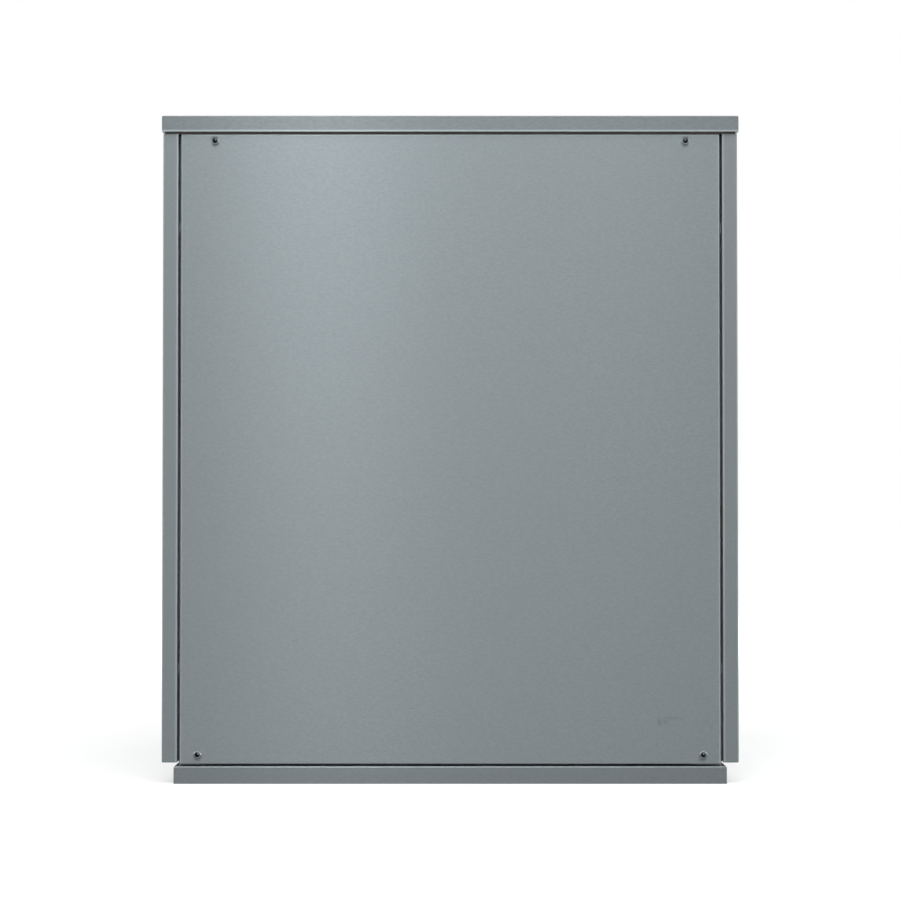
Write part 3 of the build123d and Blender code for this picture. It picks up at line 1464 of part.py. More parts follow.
save("compressor", compressor())
save("terminal_cover", terminal_cover())
save("compressor_grommets", *[grommet(x, y) for x, y in compressor_bolt_places()])
save("compressor_bolts", *[compressor_bolt(x, y) for x, y in compressor_bolt_places()])
save("condenser", condenser())
save("fan_shroud", fan_shroud())
save("fan_rotor", fan_rotor())
save("fan_motor", fan_motor())
save("motor_bracket", motor_bracket())

save("suction_line", suction_line())
save("discharge_lines", discharge_line(), hot_gas_line())
save("liquid_lines", *liquid_lines())
save("filter_drier", filter_drier())
save("expansion_valve", expansion_valve())
save("hot_gas_valve", hot_gas_valve())

save("electrical_box", electrical_box())
save("electrical_box_cover", electrical_box_cover())
save("control_board", control_board())
save("run_capacitor", run_capacitor())
save("switch_housings", rocker_housing(), button_housing())
save("power_rocker", power_rocker())
save("wash_button", wash_button())

save("water_inlet_valve", water_inlet_valve())
save("drain_outlet", drain_outlet())
save("cable_gland", cable_gland())
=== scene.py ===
from math import cos, pi, radians, sin, tan

import bmesh
import bpy
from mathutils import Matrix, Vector


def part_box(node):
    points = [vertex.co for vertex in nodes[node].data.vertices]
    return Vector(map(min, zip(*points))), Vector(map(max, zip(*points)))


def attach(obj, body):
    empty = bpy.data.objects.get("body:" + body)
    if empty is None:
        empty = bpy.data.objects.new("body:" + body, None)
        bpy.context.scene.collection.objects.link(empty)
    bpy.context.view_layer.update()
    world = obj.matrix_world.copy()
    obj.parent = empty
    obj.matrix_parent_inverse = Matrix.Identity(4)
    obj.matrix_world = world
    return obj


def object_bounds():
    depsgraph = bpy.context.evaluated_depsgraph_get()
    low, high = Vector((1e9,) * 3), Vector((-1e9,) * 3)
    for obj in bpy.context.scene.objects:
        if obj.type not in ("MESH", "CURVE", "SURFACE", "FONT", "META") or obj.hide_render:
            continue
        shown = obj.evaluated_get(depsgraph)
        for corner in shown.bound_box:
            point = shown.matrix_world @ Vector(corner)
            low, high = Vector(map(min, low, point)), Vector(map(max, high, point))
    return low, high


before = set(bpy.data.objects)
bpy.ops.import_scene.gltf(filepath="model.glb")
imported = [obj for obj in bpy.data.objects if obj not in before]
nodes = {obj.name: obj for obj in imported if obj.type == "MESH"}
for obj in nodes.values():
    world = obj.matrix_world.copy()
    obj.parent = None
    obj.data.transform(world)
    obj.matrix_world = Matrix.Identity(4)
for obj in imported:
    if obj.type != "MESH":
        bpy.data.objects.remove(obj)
cad_low, cad_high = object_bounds()

# A modular ice machine head in brushed stainless steel, seen straight from the front on white.
# Lengths are metres. X runs across, Y from the front to the rear, and Z up.

# Camera, as the photograph has it
camera_distance = 2.45
camera_tilt_deg = 1.4
image_pixels = 900
metres_per_pixel = 0.0009678
sensor_width = 36.0
aim_right = -0.0002
aim_up = -0.0012

# Light. The room behind the camera is dimmer in metal than the white backdrop.
room_level = 0.50
white_level = 1.0
side_level = 1.0
camera_side_level = 0.50
floor_size = 60.0
floor_near = 0.9
floor_far = 2.2
floor_glow = 0.50
far_floor_glow = 0.85
floor_glow_in_metal = 0.12
side_floor_in_metal = 0.80
dim_floor_rear = 0.15
dim_floor_sides = (0.5, 1.1)
dim_room_rear = (-0.4, 0.1)
dim_room_sides = (0.16, 0.45)
floor_colour = (0.50, 0.50, 0.50, 1.0)
floor_corners = ((-1, -1), (1, -1), (1, 1), (-1, 1))
floor_opening_inset = 0.006

# Finishes
steel_colour = (0.233, 0.263, 0.274)
zinc_colour = (0.50, 0.52, 0.53)
grain_along = 280.0
grain_across = 640.0
streak_along = 22.0
streak_across = 700.0

# Painted highlights along the folds of the skins and the lid's lower edge, and painted shade along the
# lid's front fold and the plinth's foot
fold_width = 0.0014
fold_beside_panel = 0.0025
panel_fold_light = 1.22
flange_fold_light = 1.38
lip_edge_light = 1.40
shade_width = 0.0013
lid_fold_shade = 0.62
lid_front_band = (0.0008, 0.0016)
plinth_edge_shade = 0.78

# Front screws: places across and up, and where the painted highlight sits in each one's hollow
screw_shade_radius = 0.0024
screw_highlight_radius = 0.0013
front_screws = [(-0.2285, 0.6232, 0.0005, 0.0012), (0.2285, 0.6232, 0.0000, 0.0012),
                (-0.2445, 0.0280, 0.0008, 0.0008), (0.2445, 0.0280, 0.0004, 0.0009)]

# Faint residue at the lower right of the front panel: across, up, half length, half width, turn, depth
residue_shade = 0.66
residue = [(0.2145, 0.0632, 0.0165, 0.0016, -2, 0.55), (0.2022, 0.0595, 0.0030, 0.0060, 8, 0.75),
           (0.2080, 0.0602, 0.0045, 0.0040, 0, 0.45), (0.2478, 0.0609, 0.0058, 0.0011, 49, 0.50),
           (0.2523, 0.0535, 0.0050, 0.0010, 74, 0.50), (0.1997, 0.0379, 0.0014, 0.0022, 0, 0.55),
           (0.2584, 0.0373, 0.0013, 0.0020, 0, 0.75)]

# Threads at the rear, measured from each stub's end, then their names, stubs and radii
thread_sides = 40
thread_pitch = 0.0018
thread_height = 0.0005
thread_start = 0.0200
thread_end = 0.0008
thread_root = 0.0003
thread_run_out = 12
thread_flanks = (0.15, 0.42, 0.58, 0.85)
threaded = [("inlet_thread", "water_inlet_valve", 0.0132), ("drain_thread", "drain_outlet", 0.0120)]

# Return bends at the ends of the condenser's pipes
bend_radius = 0.0115
bend_pipe = 0.0040
bend_sides = 12
bend_steps = 14
bend_count = 5
bend_rows = (0.0125, 0.0375)
bend_above = 0.0180
bend_sunk = 0.0010


# Node trees

def ramp(tree, value, low, high, to_low=0.0, to_high=1.0, smooth=True):
    made = tree.nodes.new("ShaderNodeMapRange")
    made.interpolation_type = "SMOOTHSTEP" if smooth else "LINEAR"
    tree.links.new(value, made.inputs["Value"])
    for name, number in (("From Min", low), ("From Max", high), ("To Min", to_low), ("To Max", to_high)):
        made.inputs[name].default_value = number
    return made.outputs[0]


class Finish:
    """A material and short calls for the nodes that the finishes share."""

    def __init__(self, name):
        self.material = bpy.data.materials.new(name)
        self.material.use_nodes = True
        self.tree = self.material.node_tree
        self.surface = self.tree.nodes["Principled BSDF"]
        self.place = self.node("ShaderNodeTexCoord").outputs["Object"]

    def node(self, kind, **settings):
        made = self.tree.nodes.new(kind)
        for name, value in settings.items():
            setattr(made, name, value)
        return made

    def feed(self, socket, value):
        if isinstance(value, bpy.types.NodeSocket):
            self.tree.links.new(value, socket)
        else:
            socket.default_value = value

    def set(self, **values):
        for name, value in values.items():
            self.feed(self.surface.inputs[name.replace("_", " ")], value)

    def calculate(self, operation, first, second=0.0, clamp=False):
        made = self.node("ShaderNodeMath", operation=operation, use_clamp=clamp)
        self.feed(made.inputs[0], first)
        self.feed(made.inputs[1], second)
        return made.outputs[0]

    def stretched(self, scale, move=(0, 0, 0), turn=(0, 0, 0), place=None):
        made = self.node("ShaderNodeMapping")
        self.feed(made.inputs["Vector"], place or self.place)
        made.inputs["Location"].default_value = move
        made.inputs["Rotation"].default_value = turn
        made.inputs["Scale"].default_value = scale
        return made.outputs[0]

    def noise(self, scale, detail=2.0, place=None, roughness=0.5):
        made = self.node("ShaderNodeTexNoise")
        self.feed(made.inputs["Vector"], place or self.place)
        made.inputs["Scale"].default_value = scale
        made.inputs["Detail"].default_value = detail
        made.inputs["Roughness"].default_value = roughness
        return made.outputs["Fac"]

    def cells(self, scale, place=None, output="Distance", feature="F1"):
        made = self.node("ShaderNodeTexVoronoi", feature=feature)
        self.feed(made.inputs["Vector"], place or self.place)
        made.inputs["Scale"].default_value = scale
        return made.outputs[output]

    def axes(self, place=None):
        made = self.node("ShaderNodeSeparateXYZ")
        self.feed(made.inputs[0], place or self.place)
        return made.outputs

    def spread(self, value, low, high, to_low=0.0, to_high=1.0, smooth=False):
        return ramp(self.tree, value, low, high, to_low, to_high, smooth)

    def blend(self, share, first, second, mode="MIX"):
        made = self.node("ShaderNodeMix", data_type="RGBA", blend_type=mode)
        self.feed(made.inputs["Factor"], share)
        for socket, value in ((made.inputs[6], first), (made.inputs[7], second)):
            self.feed(socket, value if isinstance(value, bpy.types.NodeSocket) else (*value, 1.0))
        return made.outputs[2]

    def near(self, value, place, width):
        """1 at a place along an axis, and 0 from the width on."""
        off = self.calculate("ABSOLUTE", self.calculate("SUBTRACT", value, place))
        return self.spread(off, 0.3 * width, width, 1.0, 0.0, smooth=True)

    def around_point(self, point, size, turn=0.0, core=0.55):
        """1 inside an upright ellipse that faces the front, and 0 outside it."""
        made = self.node("ShaderNodeMapping", vector_type="TEXTURE")
        self.feed(made.inputs["Vector"], self.place)
        made.inputs["Location"].default_value = (point[0], cad_low.y, point[1])
        made.inputs["Rotation"].default_value = (0.0, -turn, 0.0)
        made.inputs["Scale"].default_value = (size[0], 1.0, size[1])
        off = self.node("ShaderNodeVectorMath", operation="LENGTH")
        self.feed(off.inputs[0], made.outputs[0])
        return self.spread(off.outputs["Value"], core, 1.0, 1.0, 0.0, smooth=True)

    def most(self, masks):
        """The strongest of several masks."""
        strongest = masks[0]
        for mask in masks[1:]:
            strongest = self.calculate("MAXIMUM", strongest, mask)
        return strongest

    def bump(self, height, strength, distance, below=None):
        made = self.node("ShaderNodeBump")
        self.feed(made.inputs["Height"], height)
        made.inputs["Strength"].default_value = strength
        made.inputs["Distance"].default_value = distance
        if below:
            self.feed(made.inputs["Normal"], below)
        return made.outputs[0]


def shaded(colour, share):
    return tuple(channel * share for channel in colour)


def lifted(colour, step):
    return tuple(channel + step for channel in colour)


# Metal finishes

def brushed_steel(name, grain_axis, around, turn=0.0, painted_light_and_stains=None, tone=1.0):
    """Cold-rolled stainless sheet with a fine brushed grain, which draws out highlights across it."""
    finish = Finish(name)
    along = [grain_across] * 3
    along[grain_axis] = grain_along
    grain = finish.noise(1.0, 2.0, finish.stretched(along))
    along = [streak_across] * 3
    along[grain_axis] = streak_along
    streaks = finish.noise(1.0, 3.0, finish.stretched(along))
    clouds = finish.noise(5.0, 3.0)
    # A tone below 1 darkens the whole sheet as painted shade
    sheet = shaded(steel_colour, tone)
    colour = finish.blend(finish.spread(grain, 0.3, 0.7), shaded(sheet, 0.91), shaded(sheet, 1.09))
    colour = finish.blend(finish.spread(streaks, 0.3, 0.7, 0.0, 0.5), colour, sheet)
    colour = finish.blend(finish.spread(clouds, 0.35, 0.65, 0.0, 0.25), colour, shaded(sheet, 0.97))
    roughness = finish.spread(streaks, 0.2, 0.8, 0.33, 0.35)
    # The hook paints highlights and shade along folds and edges, and on the front panel also its residue
    if painted_light_and_stains:
        colour, roughness = painted_light_and_stains(finish, colour, roughness)
    tangent = finish.node("ShaderNodeTangent", direction_type="RADIAL", axis=around)
    finish.set(Base_Color=colour, Metallic=1.0, Roughness=roughness, Anisotropic=1.0,
               Anisotropic_Rotation=turn, Tangent=tangent.outputs[0],
               Normal=finish.bump(grain, 0.05, 0.00001))
    return finish.material


def panel_fold_highlights_and_residue(finish, colour, roughness):
    """Painted highlights along the front panel's folds, and the residue near its lower right corner."""
    low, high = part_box("front_panel")
    across, _, up = finish.axes()
    inset = fold_width / 2
    aside = finish.calculate("ABSOLUTE", across)
    folds = finish.most([finish.near(aside, high.x - inset, fold_width),
                         finish.near(up, high.z - inset, fold_width),
                         finish.near(up, low.z + inset, fold_width)])
    # Painted highlights along the panel's folds
    colour = finish.blend(folds, colour, shaded(steel_colour, panel_fold_light))
    patches = []
    for x, z, length, width, turn, depth in residue:
        patch = finish.around_point((x, z), (length, width), radians(turn), core=0.2)
        patches.append(finish.calculate("MULTIPLY", patch, depth))
    broken = finish.spread(finish.noise(520.0, 3.0), 0.35, 0.6, 0.35, 1.0)
    stain = finish.calculate("MULTIPLY", finish.most(patches), broken)
    colour = finish.blend(stain, colour, shaded(steel_colour, residue_shade))
    return colour, finish.calculate("ADD", roughness, finish.calculate("MULTIPLY", stain, 0.05))


def flange_fold_highlight(finish, colour, roughness):
    """A painted highlight along the inner fold of each front flange."""
    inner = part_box("front_panel")[1].x + fold_beside_panel
    fold = finish.near(finish.calculate("ABSOLUTE", finish.axes()[0]), inner + fold_width / 2, fold_width)
    # Painted highlight along the fold
    return finish.blend(fold, colour, shaded(steel_colour, flange_fold_light)), roughness


def lid_and_plinth_light_and_shade(finish, colour, roughness):
    """A painted highlight along the lid's lower edge, and painted shade along its front fold and the
    plinth's foot.
    """
    _, out, up = finish.axes()
    lip = finish.near(up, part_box("lid")[0].z + fold_width / 2, fold_width)
    # Painted highlight along the lid's lower edge
    colour = finish.blend(lip, colour, shaded(steel_colour, lip_edge_light))
    forward = finish.spread(out, *(cad_low.y + depth for depth in lid_front_band), 1.0, 0.0)
    fold = finish.calculate("MULTIPLY", forward, finish.near(up, cad_high.z, 2 * shade_width))
    # Painted shade along the lid's front fold
    colour = finish.blend(fold, colour, shaded(steel_colour, lid_fold_shade))
    foot = finish.near(up, cad_low.z, shade_width)
    # Painted shade along the plinth's foot
    return finish.blend(foot, colour, shaded(steel_colour, plinth_edge_shade)), roughness


def screw_metal(name):
    """Plated pan heads, with painted shade inside their hollows but for a painted highlight in each."""
    finish = Finish(name)
    wear = finish.noise(700.0, 3.0)
    light, dark = shaded(steel_colour, 1.05), shaded(steel_colour, 0.9)
    mixed = finish.blend(finish.spread(wear, 0.35, 0.7), light, dark)
    shaded_hollows, screw_highlights = [], []
    for x, z, right, up in front_screws:
        shaded_hollows.append(finish.around_point((x, z), (screw_shade_radius, screw_shade_radius), core=0.9))
        screw_highlights.append(finish.around_point((x + right, z + up), (screw_highlight_radius, screw_highlight_radius), core=0.2))
    # Painted shade in the screw hollows
    mixed = finish.blend(finish.most(shaded_hollows), mixed, (0.006, 0.007, 0.008))
    # Painted highlight in each hollow
    mixed = finish.blend(finish.most(screw_highlights), mixed, (0.42, 0.45, 0.46))
    finish.set(Base_Color=mixed, Metallic=1.0, Roughness=finish.spread(wear, 0.3, 0.7, 0.3, 0.42),
               Normal=finish.bump(wear, 0.05, 0.00005))
    return finish.material


def zinc_sheet(name, colour=zinc_colour):
    """Galvanised sheet with small, soft spangles."""
    finish = Finish(name)
    spangle = finish.cells(140.0, output="Color")
    tone = finish.spread(spangle, 0.0, 1.0)
    clouds = finish.noise(14.0, 4.0)
    mixed = finish.blend(tone, shaded(colour, 0.88), shaded(colour, 1.08))
    mixed = finish.blend(finish.spread(clouds, 0.4, 0.7, 0.0, 0.4), mixed, shaded(colour, 0.8))
    finish.set(Base_Color=mixed, Metallic=0.9, Roughness=finish.spread(tone, 0.0, 1.0, 0.34, 0.48),
               Normal=finish.bump(clouds, 0.05, 0.0002))
    return finish.material


def turned_metal(name, colour, roughness=0.28):
    """Machined or plated metal with fine, uneven turning marks."""
    finish = Finish(name)
    wear = finish.noise(90.0, 4.0)
    mixed = finish.blend(finish.spread(wear, 0.35, 0.7), colour, shaded(colour, 0.72))
    finish.set(Base_Color=mixed, Metallic=1.0,
               Roughness=finish.spread(wear, 0.3, 0.7, roughness, roughness + 0.16),
               Normal=finish.bump(finish.noise(900.0), 0.05, 0.00005))
    return finish.material


def copper_pipe(name, colour):
    """Soft copper tube with patches of tarnish."""
    finish = Finish(name)
    tarnish = finish.noise(38.0, 5.0, roughness=0.65)
    mixed = finish.blend(finish.spread(tarnish, 0.42, 0.68), colour, (0.30, 0.13, 0.08))
    finish.set(Base_Color=mixed, Metallic=1.0, Roughness=finish.spread(tarnish, 0.3, 0.7, 0.24, 0.5),
               Normal=finish.bump(finish.noise(260.0), 0.04, 0.0001))
    return finish.material


def finned_aluminium(name, colour=(0.60, 0.61, 0.62)):
    """Thin aluminium fins, standing side by side, with painted shade in the dark bands between them."""
    finish = Finish(name)
    wave = finish.node("ShaderNodeTexWave", wave_type="BANDS", bands_direction="X", wave_profile="SIN")
    finish.feed(wave.inputs["Vector"], finish.place)
    wave.inputs["Scale"].default_value = 160.0
    lines = wave.outputs["Fac"]
    dust = finish.noise(22.0, 4.0)
    # Dark bands between the fins are painted shade in the gaps
    mixed = finish.blend(lines, shaded(colour, 0.3), colour)
    mixed = finish.blend(finish.spread(dust, 0.5, 0.75, 0.0, 0.35), mixed, (0.22, 0.21, 0.19))
    finish.set(Base_Color=mixed, Metallic=0.9, Roughness=0.4, Normal=finish.bump(lines, 0.5, 0.0006))
    return finish.material


def pressed_aluminium(name, colour=(0.62, 0.63, 0.64)):
    finish = Finish(name)
    scuffs = finish.noise(60.0, 5.0, finish.stretched((1.0, 4.0, 1.0)))
    mixed = finish.blend(finish.spread(scuffs, 0.4, 0.7), colour, shaded(colour, 0.78))
    finish.set(Base_Color=mixed, Metallic=1.0, Roughness=finish.spread(scuffs, 0.3, 0.7, 0.28, 0.42),
               Normal=finish.bump(scuffs, 0.05, 0.0002))
    return finish.material


def enamel(name, colour, roughness=0.22):
    """Sprayed paint with a light orange peel."""
    finish = Finish(name)
    peel = finish.noise(240.0, 1.0)
    dust = finish.noise(11.0, 4.0)
    mixed = finish.blend(finish.spread(dust, 0.5, 0.8, 0.0, 0.5), colour, lifted(colour, 0.03))
    finish.set(Base_Color=mixed, Roughness=finish.spread(dust, 0.3, 0.8, roughness, roughness + 0.2),
               Normal=finish.bump(peel, 0.12, 0.0003), Coat_Weight=0.3, Coat_Roughness=0.2)
    return finish.material


# Plastic, rubber and foam finishes

def moulded_plastic(name, colour, roughness=0.42):
    """Moulded plastic with a fine spark texture and faint flow marks."""
    finish = Finish(name)
    spark = finish.noise(500.0, 2.0)
    flow = finish.noise(9.0, 3.0)
    mixed = finish.blend(finish.spread(flow, 0.35, 0.7, 0.0, 0.5), colour, shaded(colour, 0.93))
    finish.set(Base_Color=mixed, Normal=finish.bump(spark, 0.08, 0.0001),
               Roughness=finish.spread(spark, 0.3, 0.7, roughness - 0.05, roughness + 0.08))
    return finish.material


def wet_plastic(name, colour):
    """White plastic of the water side, with a faint film of scale along the water line."""
    finish = Finish(name)
    spark = finish.noise(420.0, 2.0)
    scale = finish.noise(30.0, 5.0, finish.stretched((1.0, 1.0, 0.35)), roughness=0.6)
    mixed = finish.blend(finish.spread(scale, 0.5, 0.72, 0.0, 0.45), colour, (0.66, 0.66, 0.62))
    finish.set(Base_Color=mixed, Roughness=finish.spread(scale, 0.4, 0.7, 0.3, 0.5),
               Normal=finish.bump(spark, 0.06, 0.0001), Subsurface_Weight=0.05)
    return finish.material


def soft_rubber(name, colour):
    finish = Finish(name)
    skin = finish.noise(320.0, 3.0)
    bloom = finish.noise(18.0, 4.0)
    mixed = finish.blend(finish.spread(bloom, 0.45, 0.75, 0.0, 0.5), colour, lifted(colour, 0.025))
    finish.set(Base_Color=mixed, Roughness=0.72, Normal=finish.bump(skin, 0.15, 0.0002))
    return finish.material


def hose_vinyl(name, colour):
    """Clear vinyl hose with a woven braid inside its wall."""
    finish = Finish(name)
    braid = finish.cells(520.0, finish.stretched((1.0, 1.0, 1.0), turn=(0.0, 0.0, radians(45))))
    mixed = finish.blend(finish.spread(braid, 0.2, 0.5), colour, shaded(colour, 0.86))
    finish.set(Base_Color=mixed, Roughness=0.2, Transmission_Weight=0.35,
               Normal=finish.bump(braid, 0.1, 0.0002))
    return finish.material


def foam(name, colour):
    finish = Finish(name)
    bubbles = finish.cells(380.0)
    rise = finish.noise(16.0, 4.0)
    mixed = finish.blend(finish.spread(bubbles, 0.1, 0.7), colour, shaded(colour, 0.72))
    mixed = finish.blend(finish.spread(rise, 0.4, 0.7, 0.0, 0.4), mixed, shaded(colour, 0.86))
    finish.set(Base_Color=mixed, Roughness=0.9, Normal=finish.bump(bubbles, 0.6, 0.0008))
    return finish.material


def ribbed_sheet(name, colour):
    """Milky, slightly see-through plastic sheet of the splash curtain."""
    finish = Finish(name)
    wave = finish.node("ShaderNodeTexWave", wave_type="BANDS", bands_direction="X")
    finish.feed(wave.inputs["Vector"], finish.place)
    wave.inputs["Scale"].default_value = 22.0
    film = finish.noise(7.0, 2.0, finish.stretched((1.0, 1.0, 0.4)))
    cloudy = finish.spread(film, 0.3, 0.75, 0.0, 0.3, smooth=True)
    mixed = finish.blend(cloudy, colour, shaded(colour, 0.94))
    finish.set(Base_Color=mixed, Roughness=finish.spread(film, 0.3, 0.7, 0.3, 0.36),
               Transmission_Weight=0.25, Normal=finish.bump(wave.outputs["Fac"], 0.25, 0.0008))
    return finish.material


def circuit_board(name, colour):
    """Green solder mask with tracks, on the face of the board."""
    finish = Finish(name)
    brick = finish.node("ShaderNodeTexBrick")
    finish.feed(brick.inputs["Vector"], finish.stretched((1.0, 1.0, 1.0), turn=(0.0, radians(90), 0.0)))
    brick.inputs["Scale"].default_value = 90.0
    brick.inputs["Mortar Size"].default_value = 0.03
    finish.feed(brick.inputs["Color1"], (*colour, 1.0))
    finish.feed(brick.inputs["Color2"], (*shaded(colour, 0.8), 1.0))
    finish.feed(brick.inputs["Mortar"], (*shaded(colour, 1.9), 1.0))
    finish.set(Base_Color=brick.outputs["Color"], Coat_Weight=0.4,
               Roughness=finish.spread(finish.noise(200.0), 0.3, 0.7, 0.25, 0.4))
    return finish.material


# Which CAD node has which finish

along_x, along_y = 0, 1

finishes = [
    (brushed_steel("front_steel", along_x, "X", painted_light_and_stains=panel_fold_highlights_and_residue), ["front_panel"]),
    # The lid and plinth at tone 0.82 and the side panels at 0.92 are darker copies of the steel, painted
    # shade
    (brushed_steel("lid_steel", along_x, "X", painted_light_and_stains=lid_and_plinth_light_and_shade, tone=0.82), ["lid", "base_tray"]),
    (brushed_steel("side_steel", along_y, "Z", 0.25, flange_fold_highlight, 0.92), ["side_panel_left",
                                                                           "side_panel_right"]),
    (zinc_sheet("zinc_skin", (0.42, 0.44, 0.45)), ["rear_cover", "rear_service_panel"]),
    (zinc_sheet("zinc_frame"), ["corner_posts", "top_rails", "panel_brackets", "bulkhead", "motor_bracket",
                                "fan_shroud", "electrical_box", "electrical_box_cover"]),
    (screw_metal("front_screw_steel"), ["front_screws"]),
    (turned_metal("screw_steel", (0.46, 0.48, 0.49)), ["rear_screws", "compressor_bolts"]),
    (turned_metal("nickel_plate", (0.58, 0.57, 0.53), 0.3), ["evaporator_grid", "evaporator_coil"]),
    (turned_metal("brass", (0.62, 0.44, 0.18), 0.26), ["expansion_valve", "hot_gas_valve"]),
    (copper_pipe("copper", (0.72, 0.33, 0.18)), ["suction_line", "discharge_lines", "liquid_lines",
                                                 "filter_drier"]),
    (finned_aluminium("fins"), ["condenser"]),
    (pressed_aluminium("pressed_aluminium"), ["fan_rotor", "run_capacitor"]),
    (enamel("black_enamel", (0.012, 0.012, 0.013)), ["compressor"]),
    (enamel("grey_enamel", (0.13, 0.135, 0.14), 0.35), ["fan_motor", "pump_motor"]),
    (moulded_plastic("liner_plastic", (0.74, 0.76, 0.75)), ["ice_compartment_liner", "splash_cover",
                                                            "evaporator_frame", "ice_chute_collar"]),
    (wet_plastic("wet_plastic", (0.76, 0.77, 0.76)), ["sump", "standpipe", "ice_ramp", "water_distributor",
                                                      "pump_housing", "float_stem", "level_float"]),
    (moulded_plastic("rotor_plastic", (0.05, 0.052, 0.055), 0.4), ["pump_rotor"]),
    (moulded_plastic("black_plastic", (0.018, 0.018, 0.019), 0.5), ["terminal_cover", "switch_housings",
                                                                   "power_rocker", "cable_gland"]),
    (moulded_plastic("grey_plastic", (0.20, 0.21, 0.215), 0.45), ["water_inlet_valve", "drain_outlet"]),
    (moulded_plastic("button_plastic", (0.62, 0.64, 0.65), 0.3), ["wash_button"]),
    (ribbed_sheet("curtain_sheet", (0.74, 0.79, 0.82)), ["splash_curtain"]),
    (hose_vinyl("hose_vinyl", (0.70, 0.72, 0.71)), ["drain_hose", "supply_hose", "fill_tube"]),
    (foam("foam", (0.80, 0.72, 0.52)), ["insulation"]),
    (soft_rubber("seal_rubber", (0.070, 0.058, 0.049)), ["lid_seal", "compressor_grommets"]),
    (circuit_board("board_green", (0.02, 0.13, 0.05)), ["control_board"]),
]


def dress(material, names):
    for name in names:
        slots = nodes[name].data.materials
        slots.clear()
        slots.append(material)


for material, names in finishes:
    dress(material, names)


# Detail pieces

def closed_mesh(name, shape):
    """A mesh from a bmesh, with its faces outwards."""
    bmesh.ops.remove_doubles(shape, verts=shape.verts, dist=1e-7)
    bmesh.ops.recalc_face_normals(shape, faces=shape.faces)
    mesh = bpy.data.meshes.new(name)
    shape.to_mesh(mesh)
    shape.free()
    return mesh


def swept(shape, sections):
    """Joins sections of the same number of points, and closes both ends of the run."""
    rows = [[shape.verts.new(point) for point in section] for section in sections]
    count = len(rows[0])
    for first, second in zip(rows, rows[1:]):
        for i in range(count):
            j = (i + 1) % count
            shape.faces.new((first[i], first[j], second[j], second[i]))
    shape.faces.new(rows[0])
    shape.faces.new(rows[-1])


def thread_mesh(name, node, radius):
    """A helical ridge round a stub that points to the rear from its round flange."""
    low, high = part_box(node)
    start = high.y - thread_start
    x = (low.x + high.x) / 2
    z = low.z + (high.x - low.x) / 2
    steps = int((thread_start - thread_end - thread_pitch) / thread_pitch * thread_sides)
    sections = []
    for step in range(steps + 1):
        angle = 2 * pi * step / thread_sides
        level = start + thread_pitch * step / thread_sides
        crest = radius + thread_height * min(1.0, step / thread_run_out, (steps - step) / thread_run_out)
        foot = radius - thread_root
        sections.append([(x + reach * cos(angle), level + share * thread_pitch, z + reach * sin(angle))
                         for reach, share in zip((foot, crest, crest, foot), thread_flanks)])
    shape = bmesh.new()
    swept(shape, sections)
    return closed_mesh(name, shape)


def bend_mesh(name, end, side, level):
    """Hairpin bends side by side, one for each row of the condenser's pipes, on its end plate."""
    rearward = Vector((0.0, 1.0, 0.0))
    turns = [2 * pi * i / bend_sides for i in range(bend_sides)]
    shape = bmesh.new()
    for row in bend_rows:
        sections = []
        for step in range(bend_steps + 3):
            angle = pi * min(max(step - 1, 0), bend_steps) / bend_steps
            inward = bend_sunk if step in (0, bend_steps + 2) else 0.0
            out = Vector((side * sin(angle), 0.0, -cos(angle)))
            middle = end + Vector((-side * inward, row, level + bend_radius)) + bend_radius * out
            sections.append([middle + bend_pipe * (cos(turn) * out + sin(turn) * rearward)
                             for turn in turns])
        swept(shape, sections)
    return closed_mesh(name, shape)


def row_tree(name, material):
    """A node tree that repeats its geometry in a row, with named inputs for count and step."""
    tree = bpy.data.node_groups.new(name, "GeometryNodeTree")
    tree.interface.new_socket(name="Geometry", in_out="INPUT", socket_type="NodeSocketGeometry")
    tree.interface.new_socket(name="Count", in_out="INPUT", socket_type="NodeSocketInt")
    tree.interface.new_socket(name="Step", in_out="INPUT", socket_type="NodeSocketVector")
    tree.interface.new_socket(name="Geometry", in_out="OUTPUT", socket_type="NodeSocketGeometry")
    given = tree.nodes.new("NodeGroupInput")
    line = tree.nodes.new("GeometryNodeMeshLine")
    copies = tree.nodes.new("GeometryNodeInstanceOnPoints")
    real = tree.nodes.new("GeometryNodeRealizeInstances")
    dressed = tree.nodes.new("GeometryNodeSetMaterial")
    dressed.inputs["Material"].default_value = material
    result = tree.nodes.new("NodeGroupOutput")
    for start, end in ((given.outputs["Count"], line.inputs["Count"]),
                       (given.outputs["Step"], line.inputs["Offset"]),
                       (line.outputs[0], copies.inputs["Points"]),
                       (given.outputs["Geometry"], copies.inputs["Instance"]),
                       (copies.outputs[0], real.inputs[0]), (real.outputs[0], dressed.inputs["Geometry"]),
                       (dressed.outputs[0], result.inputs[0])):
        tree.links.new(start, end)
    return tree


def add_piece(name, mesh, body):
    piece = bpy.data.objects.new(name, mesh)
    bpy.context.scene.collection.objects.link(piece)
    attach(piece, body)
    return piece


def add_row(name, mesh, material, count, step, body):
    """A row of copies of a mesh, made by its node tree and turned into one plain mesh."""
    mesh.materials.append(material)
    maker = bpy.data.objects.new(name + "_maker", mesh)
    bpy.context.scene.collection.objects.link(maker)
    tree = row_tree(name, material)
    modifier = maker.modifiers.new("row", "NODES")
    modifier.node_group = tree
    values = {"Count": count, "Step": step}
    for item in tree.interface.items_tree:
        if item.in_out == "INPUT" and item.name in values:
            modifier[item.identifier] = values[item.name]
    graph = bpy.context.evaluated_depsgraph_get()
    result = bpy.data.meshes.new_from_object(maker.evaluated_get(graph))
    bpy.data.objects.remove(maker)
    return add_piece(name, result, body)


for name, node, radius in threaded:
    thread = add_piece(name, thread_mesh(name, node, radius), "machine")
    thread.data.materials.append(nodes[node].data.materials[0])

